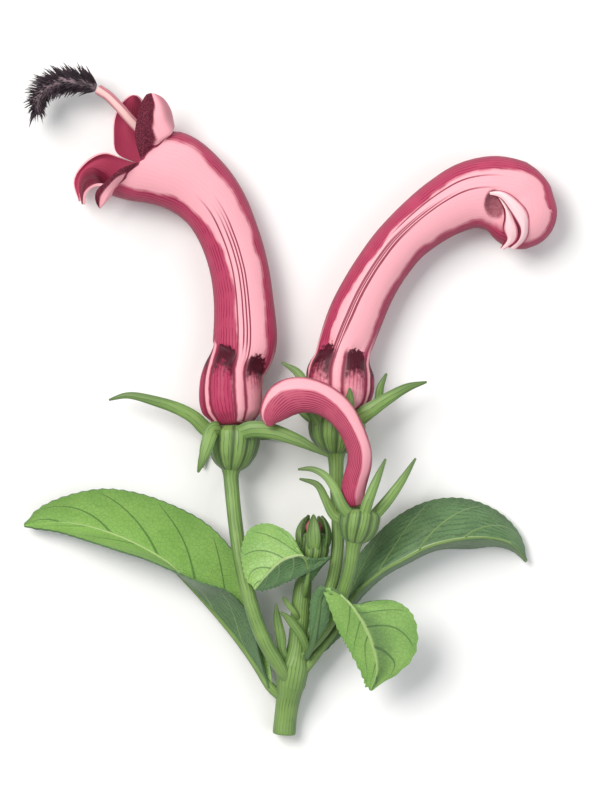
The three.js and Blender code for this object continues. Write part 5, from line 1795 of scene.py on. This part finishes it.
@dataclass
class AntherBrush:
    """The dark anther tube, thickly set with curved bristles."""

    rows: Sequence[Row] = (
    (19.2, 142.35, 7.9, 0.9, 0.9), (16.4, 143.3, 7.8, 1.25, 1.25), (12.8, 143.5, 7.6, 1.35, 1.35),
    (9.4, 142.1, 7.4, 1.3, 1.3), (7.6, 139.6, 7.2, 1.15, 1.15), (7.7, 137.4, 7.1, 0.7, 0.7),
)
    bristles: int = 520
    long: float = 3.2
    short: float = 2.2
    root_half: float = 0.085
    seed: int = 11

    def build(self, finishes: Finishes) -> None:
        """Grows the tube and sets it with copies of one bristle."""
        loft = Loft("anther_brush_hairs", self.rows, 36, 16)
        loft.round_end(last=True, reach=0.5)
        loft.round_end(last=False, reach=0.1)
        parts = [dress(loft.finish(), finishes.anther)]
        model = dress(self._bristle(), finishes.bristle)
        dice = random.Random(self.seed)
        golden = math.pi * (3.0 - math.sqrt(5.0))
        for number in range(self.bristles):
            share = 0.01 + 0.98 * (number + 0.5) / self.bristles
            copy = model.copy()
            copy.data = model.data.copy()
            copy.matrix_world = self._stand(loft.route, share, number * golden + 0.5 * dice.random(), dice)
            bpy.context.scene.collection.objects.link(copy)
            parts.append(copy)
        bpy.data.objects.remove(model)
        hand_over(join("anther_brush_hairs", parts), "anther_brush", Slot.ANTHER_BRUSH)

    def _bristle(self) -> bpy.types.Object:
        """One bristle of length 1, bent and pointed."""
        rows = [
            (0.0, 0.0, 0.0, self.root_half, self.root_half),
            (0.03, 0.0, 0.35, self.root_half * 0.8, self.root_half * 0.8),
            (0.1, 0.0, 0.7, self.root_half * 0.5, self.root_half * 0.5),
            (0.2, 0.0, 1.0, self.root_half * 0.12, self.root_half * 0.12),
        ]
        placed = [(*(Vector(row[:3]) + SHEET_MIDDLE), *row[3:]) for row in rows]
        loft = Loft("bristle", placed, 4, 4)
        loft.round_end(last=True, reach=0.01)
        bpy.ops.object.mode_set(mode="OBJECT")
        return loft.piece

    def _stand(self, route: Route, share: float, angle: float, dice: random.Random) -> Matrix:
        """Where one bristle stands.

        Args:
            route: The tube's route.
            share: Share of its length.
            angle: Angle round it.
            dice: Seeded random source.

        Returns:
            The bristle's place, turn and length as a matrix.
        """
        ring = route.ring(share)
        out = ring.side * math.cos(angle) + ring.up * math.sin(angle)
        inner = max(0.0, math.cos(angle))
        length = (self.long + (self.short - self.long) * inner) * (0.7 + 0.4 * dice.random())
        length *= 1.0 - 0.4 * ramp(share, 0.45, 0.88) + 0.4 * ramp(share, 0.92, 1.0)
        lean = 0.15 + 0.6 * dice.random() + 4.6 * max(0.0, share - 0.85) + 0.35 * (1.0 - ramp(share, 0.0, 0.35))
        sway = ring.ahead.cross(out) * (0.7 * (dice.random() - 0.5))
        way = (out + ring.ahead * lean + sway).normalized()
        bend = (ring.ahead - way * ring.ahead.dot(way)).normalized()
        basis = Matrix((bend, way.cross(bend), way)).transposed()
        root = ring.centre + out * (ring.half_width - 0.2)
        scale = Matrix.Diagonal((length, 1.0, length))
        return Matrix.Translation(root) @ (basis @ scale).to_4x4()


@dataclass
class Studio:
    """Pale floor, soft lights and the camera that looks straight down on the sprig."""

    lens: float = 300.0
    floor_size: float = 8.0
    floor_tone: Colour = (0.86, 0.86, 0.85)
    world_tone: Colour = (0.95, 0.97, 1.0)
    world_strength: float = 0.42

    def build(self) -> None:
        """Makes floor, lights, sky and camera."""
        self._floor()
        self._light("key_light", Vector((-0.6, 0.45, 1.05)), 0.7, 16.0, (1.0, 0.97, 0.94))
        self._light("fill_light", Vector((0.9, -0.3, 0.9)), 1.1, 5.0, (0.94, 0.97, 1.0))
        self._light("rim_light", Vector((0.3, 1.1, 0.6)), 0.7, 3.0, (1.0, 1.0, 1.0))
        world = bpy.data.worlds.new("studio_sky")
        world.use_nodes = True
        sky = world.node_tree.nodes["Background"]
        sky.inputs["Color"].default_value = opaque(self.world_tone)
        sky.inputs["Strength"].default_value = self.world_strength
        bpy.context.scene.world = world
        bpy.context.scene.view_settings.view_transform = "Standard"
        self._camera()

    def _floor(self) -> None:
        """A wide plain floor."""
        deselect_all()
        bpy.ops.mesh.primitive_plane_add(size=self.floor_size)
        floor = bpy.context.object
        floor.name = floor.data.name = "floor"
        material, _, shader = surface("floor_paper", roughness=0.8)
        shader.inputs["Base Color"].default_value = opaque(self.floor_tone)
        shader.inputs["Specular IOR Level"].default_value = 0.2
        dress(floor, material)

    def _light(self, name: str, place: Vector, size: float, power: float, tone: Colour) -> None:
        """A soft square light that looks at the sprig.

        Args:
            name: Name of the light.
            place: Where it hangs, in metres.
            size: Side of the square.
            power: Power in watts.
            tone: Colour of the light.
        """
        bpy.ops.object.light_add(type="AREA", location=place)
        light = bpy.context.object
        light.name = name
        light.data.shape = "SQUARE"
        light.data.size = size
        light.data.energy = power
        light.data.color = tone
        light.rotation_euler = (-place).to_track_quat("-Z", "Y").to_euler()
        light.visible_camera = False

    def _camera(self) -> None:
        """A long lens straight above the middle of the picture."""
        middle = (PICTURE_MIDDLE - SHEET_MIDDLE) * METRES
        bpy.ops.object.camera_add(location=middle, rotation=(0.0, 0.0, 0.0))
        camera = bpy.context.object
        camera.name = "picture_camera"
        camera.data.lens = self.lens
        camera.data.sensor_width = 36.0
        distance = PICTURE_HEIGHT * METRES / 2.0 * self.lens / 18.0
        camera.location = middle + Vector((0.0, 0.0, distance))
        camera.data.clip_start = 0.05
        camera.data.clip_end = 50.0
        bpy.context.scene.camera = camera


OPEN_STALK: Sequence[Row] = (
    (57.4, 24.2, 6.6, 1.2, 1.2), (55.4, 27.6, 8.4, 1.45, 1.4), (53.4, 31.0, 9.6, 1.5, 1.45),
    (51.8, 34.4, 10.1, 1.5, 1.5), (49.6, 41.6, 10.2, 1.5, 1.5), (47.9, 49.6, 9.4, 1.5, 1.5),
    (46.8, 58.0, 7.8, 1.5, 1.5), (46.2, 64.6, 6.5, 1.55, 1.55), (46.25, 66.8, 6.4, 2.3, 2.2),
)
CLOSED_STALK: Sequence[Row] = (
    (60.4, 30.6, 6.1, 1.2, 1.2), (62.0, 33.8, 6.2, 1.2, 1.2), (63.8, 37.2, 6.3, 1.2, 1.2), (65.4, 40.6, 6.3, 1.25, 1.25),
    (66.8, 45.0, 6.5, 1.3, 1.3), (67.6, 52.0, 6.7, 1.3, 1.3), (67.4, 60.0, 6.7, 1.35, 1.35),
    (67.2, 68.2, 6.5, 1.6, 1.6), (67.2, 70.2, 6.5, 2.6, 2.5),
)
YOUNG_STALK: Sequence[Row] = (
    (60.2, 28.6, 7.0, 1.0, 1.0), (62.6, 31.2, 8.0, 1.1, 1.1), (65.0, 34.2, 8.7, 1.2, 1.2), (67.3, 38.2, 9.8, 1.3, 1.3),
    (68.8, 42.4, 11.0, 1.35, 1.35), (70.0, 47.0, 12.6, 1.4, 1.4), (70.6, 50.6, 13.6, 1.5, 1.5),
    (70.85, 52.4, 13.9, 2.1, 2.0),
)
SMALL_STALK: Sequence[Row] = (
    (61.0, 43.6, 7.0, 0.95, 0.95), (61.35, 45.0, 7.2, 0.9, 0.9), (61.8, 45.95, 7.3, 0.95, 0.95),
    (62.1, 46.6, 7.35, 1.05, 1.05), (62.3, 47.5, 7.4, 1.6, 1.6),
)
LEFT_RAILS = Rails(
    left=(
        (54.5, 23.2, 4.6), (53.8, 28.4, 4.4), (52.4, 35.0, 4.2), (50.4, 42.6, 4.6), (46.6, 49.4, 5.6),
        (41.2, 55.0, 6.2), (34.2, 58.8, 6.0), (27.0, 61.2, 5.4), (20.6, 61.9, 4.8), (13.6, 60.6, 4.0),
        (8.4, 58.4, 3.4), (4.7, 55.2, 2.8),
    ),
    middle=(
        (54.2, 22.6, 4.8), (51.8, 26.2, 4.0), (48.0, 31.4, 3.2), (44.8, 35.2, 2.6), (41.2, 39.2, 2.2),
        (37.4, 43.2, 1.8), (33.0, 47.4, 1.6), (25.6, 51.6, 1.5), (18.4, 54.3, 1.7), (12.0, 55.4, 2.1),
        (4.6, 54.9, 2.6),
    ),
    right=(
        (53.8, 22.2, 5.2), (52.0, 28.6, 6.2), (50.8, 33.6, 7.2), (49.2, 37.8, 7.7), (45.8, 41.4, 8.8),
        (39.8, 43.6, 9.8), (34.8, 45.8, 9.8), (29.2, 48.2, 9.4), (24.2, 49.8, 8.6), (18.0, 51.8, 7.2),
        (11.2, 53.8, 4.8), (4.7, 54.6, 2.9),
    ),
)
RIGHT_RAILS = Rails(
    left=(
        (61.9, 28.5, 6.2), (64.4, 31.9, 6.3), (66.8, 36.0, 6.2), (67.9, 40.8, 4.6), (70.2, 46.2, 4.0),
        (74.4, 51.8, 3.4), (80.4, 57.0, 2.8), (87.2, 59.8, 2.6), (93.6, 59.8, 2.4), (99.8, 57.2, 2.2),
        (103.8, 53.0, 2.2), (105.5, 47.8, 1.9),
    ),
    middle=(
        (62.4, 28.0, 6.2), (65.0, 31.2, 6.5), (67.8, 34.8, 6.8), (69.6, 39.4, 7.2), (75.6, 45.2, 8.2),
        (80.4, 48.0, 8.8), (86.2, 50.9, 9.0), (92.0, 52.2, 8.6), (97.4, 52.5, 7.4), (102.0, 51.4, 5.4),
        (105.4, 47.6, 2.2),
    ),
    right=(
        (62.9, 27.6, 6.2), (65.6, 30.6, 6.3), (68.8, 34.0, 6.2), (71.0, 39.0, 5.0), (76.4, 44.4, 3.4),
        (81.4, 47.2, 1.8), (87.6, 50.0, 1.0), (94.4, 50.3, 0.9), (99.2, 50.8, 1.2), (102.8, 49.8, 1.6),
        (105.3, 47.5, 1.9),
    ),
)
BACK_RAILS = Rails(
    left=(
        (60.8, 43.4, 9.8), (60.0, 46.6, 10.8), (59.7, 50.4, 11.8), (57.6, 53.6, 11.7), (53.8, 55.3, 11.6),
        (50.2, 54.2, 11.9), (48.7, 50.8, 12.1), (48.8, 47.4, 12.2), (49.5, 44.6, 12.3), (50.9, 42.4, 12.3),
    ),
    middle=(
        (61.3, 43.1, 9.9), (61.6, 46.2, 11.2), (60.6, 48.9, 12.9), (56.8, 48.2, 13.3), (53.8, 45.6, 12.9),
        (51.0, 42.2, 12.4),
    ),
    right=(
        (61.8, 43.2, 9.8), (64.0, 46.4, 10.6), (66.3, 48.8, 11.2), (63.8, 46.9, 11.6), (59.2, 44.8, 11.5),
        (55.0, 43.0, 11.8), (51.2, 42.0, 12.3),
    ),
)
FRONT_RAILS = Rails(
    left=(
        (61.8, 31.0, 10.6), (62.2, 36.0, 11.9), (62.6, 40.6, 13.0), (64.2, 42.9, 14.0), (65.4, 40.6, 14.2),
        (67.6, 35.0, 13.0), (68.9, 32.6, 12.5), (70.2, 30.4, 12.0), (73.0, 24.8, 10.6), (73.9, 22.2, 9.9),
    ),
    middle=(
        (62.4, 31.0, 10.7), (63.6, 36.6, 12.0), (64.4, 41.2, 13.4), (66.4, 42.6, 15.0), (69.2, 40.4, 15.9),
        (71.4, 37.6, 15.8), (72.8, 35.0, 15.1), (74.0, 32.0, 14.2), (75.2, 26.4, 12.0), (74.1, 22.1, 10.1),
    ),
    right=(
        (63.0, 31.0, 10.6), (65.2, 35.6, 11.9), (66.0, 39.4, 13.0), (67.2, 40.6, 13.9), (69.8, 38.8, 14.7),
        (73.2, 39.9, 14.9), (78.6, 40.0, 13.8), (82.2, 37.0, 12.8), (82.4, 29.2, 11.4), (74.4, 22.1, 10.0),
    ),
    matched=True,
)
OUTER_AXIL: Sequence[Row] = (
    (57.8, 27.6, 6.6, 0.6, 0.5), (56.5, 29.8, 7.7, 0.75, 0.5), (56.2, 32.4, 8.0, 0.95, 0.45), (55.5, 36.2, 8.6, 0.75, 0.4), (55.2, 39.4, 8.9, 0.12, 0.3),
)
FRONT_AXIL: Sequence[Row] = (
    (60.6, 28.6, 7.2, 0.5, 0.45), (61.2, 30.4, 8.8, 0.6, 0.45), (60.4, 32.8, 9.4, 0.8, 0.42), (58.8, 35.0, 9.7, 0.8, 0.4), (57.3, 36.8, 9.9, 0.55, 0.38),
    (56.0, 37.7, 9.9, 0.12, 0.3),
)
SMALL_AXIL: Sequence[Row] = (
    (59.9, 35.8, 7.8, 0.35, 0.4), (59.1, 37.3, 9.0, 0.45, 0.4), (58.1, 38.6, 9.3, 0.5, 0.36), (57.2, 39.8, 9.3, 0.4, 0.34), (56.5, 40.7, 9.3, 0.12, 0.3),
)
OPEN_CUP: Sequence[Row] = (
    (46.2, 65.9, 6.4, 1.8, 1.8), (46.3, 67.0, 6.4, 3.3, 3.2), (46.5, 69.4, 6.4, 4.7, 4.6),
    (46.7, 72.2, 6.3, 5.2, 5.1), (46.8, 73.9, 6.2, 5.0, 4.9), (46.8, 74.9, 6.2, 3.8, 3.7),
)
OPEN_SEPALS: Sequence[Sequence[Row]] = (
    (
        (43.6, 72.6, 6.4, 1.4, 0.6), (41.0, 74.3, 6.7, 1.4, 0.5), (39.0, 76.4, 6.9, 1.3, 0.46),
        (35.6, 78.3, 7.2, 1.15, 0.42), (31.0, 79.8, 7.3, 0.95, 0.4), (25.6, 81.0, 6.9, 0.6, 0.36),
        (21.8, 80.0, 6.2, 0.15, 0.3),
    ),
    (
        (43.9, 74.2, 9.6, 1.5, 0.6), (42.5, 74.0, 11.4, 1.45, 0.5), (41.4, 70.6, 12.4, 1.15, 0.42),
        (40.4, 67.6, 12.3, 0.7, 0.36), (39.7, 65.6, 11.8, 0.15, 0.3),
    ),
    (
        (47.6, 73.2, 10.4, 1.4, 0.6), (50.2, 74.2, 11.6, 1.6, 0.5), (54.0, 73.9, 12.3, 1.5, 0.42),
        (60.0, 71.8, 13.0, 1.1, 0.38), (65.6, 68.8, 13.0, 0.15, 0.3),
    ),
    (
        (49.2, 73.8, 3.0, 1.4, 0.6), (52.0, 73.2, 1.9, 1.2, 0.5), (55.2, 73.0, 1.4, 0.8, 0.4),
        (58.2, 72.2, 1.2, 0.15, 0.3),
    ),
    (
        (44.4, 73.8, 3.0, 1.4, 0.6), (41.8, 72.4, 1.7, 1.2, 0.5), (40.6, 69.0, 1.2, 0.8, 0.4),
        (40.4, 66.4, 1.1, 0.15, 0.3),
    ),
)
CLOSED_CUP: Sequence[Row] = (
    (67.2, 69.2, 6.5, 1.8, 1.8), (67.2, 70.2, 6.5, 3.6, 3.4), (67.3, 72.4, 6.4, 5.2, 4.9),
    (67.4, 74.8, 6.3, 5.6, 5.3), (67.6, 76.6, 6.3, 5.2, 5.0), (67.7, 77.5, 6.3, 4.1, 3.9),
)
CLOSED_SEPALS: Sequence[Sequence[Row]] = (
    (
        (64.4, 75.4, 9.6, 1.4, 0.6), (62.2, 78.6, 11.3, 1.3, 0.5), (61.0, 82.4, 11.4, 1.1, 0.42),
        (59.6, 85.4, 10.6, 0.8, 0.38), (56.3, 87.5, 9.6, 0.15, 0.3),
    ),
    (
        (70.2, 75.6, 9.2, 1.4, 0.6), (73.4, 77.6, 10.2, 1.5, 0.5), (77.0, 80.0, 10.3, 1.2, 0.42),
        (81.4, 82.5, 9.8, 0.8, 0.38), (85.3, 83.6, 9.1, 0.15, 0.3),
    ),
    (
        (72.0, 75.8, 6.6, 1.1, 0.6), (75.4, 78.8, 7.0, 0.85, 0.45), (76.0, 82.4, 7.4, 0.7, 0.38),
        (77.3, 85.3, 7.3, 0.15, 0.3),
    ),
    (
        (68.6, 75.4, 10.8, 1.2, 0.6), (69.6, 78.4, 12.1, 1.15, 0.45), (69.9, 80.6, 12.7, 0.7, 0.36),
        (69.9, 82.4, 12.9, 0.15, 0.3),
    ),
    (
        (64.2, 75.4, 3.8, 1.3, 0.6), (61.0, 77.6, 2.9, 1.1, 0.45), (58.4, 80.4, 2.3, 0.75, 0.38),
        (56.8, 83.2, 2.0, 0.15, 0.3),
    ),
)
YOUNG_CUP: Sequence[Row] = (
    (70.8, 51.5, 13.8, 1.5, 1.5), (71.0, 52.6, 13.9, 2.9, 2.8), (71.5, 54.8, 14.0, 3.95, 3.8),
    (71.9, 57.0, 14.0, 4.05, 3.9), (72.0, 58.1, 14.0, 3.2, 3.1),
)
YOUNG_SEPALS: Sequence[Sequence[Row]] = (
    (
        (70.4, 56.6, 16.4, 1.1, 0.6), (68.4, 58.9, 16.8, 1.05, 0.45), (67.0, 62.2, 16.4, 0.85, 0.4),
        (65.0, 65.0, 15.6, 0.7, 0.38), (62.4, 66.3, 14.8, 0.5, 0.34), (59.6, 66.2, 14.2, 0.15, 0.3),
    ),
    (
        (69.2, 55.8, 13.4, 1.1, 0.6), (66.8, 57.0, 13.2, 0.95, 0.45), (65.2, 60.0, 13.2, 0.8, 0.4),
        (63.4, 63.2, 12.9, 0.6, 0.36), (59.9, 64.3, 12.4, 0.15, 0.3),
    ),
    (
        (72.6, 57.0, 16.8, 1.1, 0.6), (73.6, 60.2, 17.6, 1.0, 0.45), (75.2, 64.2, 17.2, 0.75, 0.38),
        (77.0, 68.3, 16.4, 0.15, 0.3),
    ),
    (
        (74.2, 56.4, 14.4, 1.1, 0.6), (77.2, 59.8, 14.8, 1.05, 0.45), (80.2, 63.9, 14.6, 0.75, 0.38),
        (83.0, 68.4, 13.9, 0.15, 0.3),
    ),
    (
        (71.6, 56.8, 11.6, 1.1, 0.6), (70.8, 60.0, 10.6, 0.95, 0.45), (69.8, 63.2, 10.2, 0.6, 0.36),
        (69.2, 65.8, 10.2, 0.15, 0.3),
    ),
)
SMALL_CUP: Sequence[Row] = (
    (62.3, 46.9, 7.4, 1.2, 1.2), (62.4, 47.9, 7.4, 2.4, 2.3), (62.6, 49.8, 7.4, 3.1, 2.8),
    (62.7, 52.2, 7.5, 3.0, 2.7), (62.7, 53.3, 7.5, 2.2, 2.0),
)
YOUNG_COROLLA: Sequence[Row] = (
    (70.75, 59.15, 14.0, 1.9, 1.8), (70.4, 61.0, 14.3, 2.5, 2.3), (71.0, 64.2, 14.8, 2.5, 2.3),
    (71.8, 67.2, 15.2, 2.5, 2.3), (71.8, 69.8, 15.5, 2.45, 2.3), (70.9, 72.6, 15.7, 2.5, 2.3),
    (69.6, 75.3, 15.8, 2.6, 2.3), (67.4, 78.1, 15.8, 2.95, 2.3), (64.3, 80.2, 15.7, 3.25, 2.35),
    (60.7, 81.0, 15.5, 3.6, 2.4), (57.4, 80.4, 15.2, 3.8, 2.4), (55.0, 78.1, 14.9, 3.1, 2.1),
    (54.1, 76.3, 14.7, 2.1, 1.5), (53.9, 75.2, 14.6, 0.9, 0.7),
)
SMALL_COROLLA: Sequence[Row] = (
    (62.7, 53.4, 7.5, 1.5, 1.5), (62.7, 54.5, 7.5, 1.8, 1.75), (62.7, 55.6, 7.5, 1.25, 1.25), (62.7, 56.1, 7.5, 0.5, 0.5),
)


def main() -> None:
    """Builds the studio and every piece of the sprig, in order."""
    logging.basicConfig(level=logging.INFO, format="%(message)s")
    finishes = make_finishes()
    Studio().build()
    Stem().build(finishes)
    for node, rows in (
        ("stalk_open_flower", OPEN_STALK),
        ("stalk_closed_flower", CLOSED_STALK),
        ("stalk_young_bud", YOUNG_STALK),
        ("stalk_small_bud", SMALL_STALK),
    ):
        Stalk(node, rows).build(finishes)
    large = {"slot": Slot.LEAF, "upper": "leaf_upper", "lower": "leaf_lower_shaded"}
    small = {"slot": Slot.LEAF_SMALL, "upper": "small_upper", "lower": "small_lower_shaded", "rows": 56, "bow": 0.3, "quilt": 0.18, "stalk_half": 0.6}
    Leaf("leaf_left", LEFT_RAILS, root=(56.4, 20.4, 4.2), **large).build(finishes)
    Leaf("leaf_right", RIGHT_RAILS, root=(60.4, 25.4, 5.8), **large).build(finishes)
    Leaf("leaf_back", BACK_RAILS, root=(61.0, 41.0, 8.4), shaded_half=True, **small).build(finishes)
    Leaf("leaf_front", FRONT_RAILS, root=(61.2, 28.6, 8.4), **(small | {"upper": "front_upper", "rib": "front_rib_shaded", "veins": 8, "shift": 3.4, "sweep": 0.2, "tooth": 0.8})).build(
        finishes
    )
    AxilLeaf("axil_leaf_outer", OUTER_AXIL).build(finishes)
    AxilLeaf("axil_leaf_front", FRONT_AXIL).build(finishes)
    AxilLeaf("axil_leaf_small", SMALL_AXIL).build(finishes)
    Calyx("calyx_open_flower", OPEN_CUP, OPEN_SEPALS).build(finishes)
    Calyx("calyx_closed_flower", CLOSED_CUP, CLOSED_SEPALS).build(finishes)
    Calyx("calyx_young_bud", YOUNG_CUP, YOUNG_SEPALS).build(finishes)
    Calyx("calyx_small_bud", SMALL_CUP, small_bud_sepals(), rings=14).build(finishes)
    OpenCorolla().build(finishes)
    ClosedCorolla().build(finishes)
    BudCorolla("corolla_young_bud", YOUNG_COROLLA, "petal_young").build(finishes)
    BudCorolla("corolla_small_bud", SMALL_COROLLA, "petal_small", rings=14, sides=20).build(finishes)
    StamenColumn().build(finishes)
    AntherBrush().build(finishes)


if __name__ == "__main__":
    main()
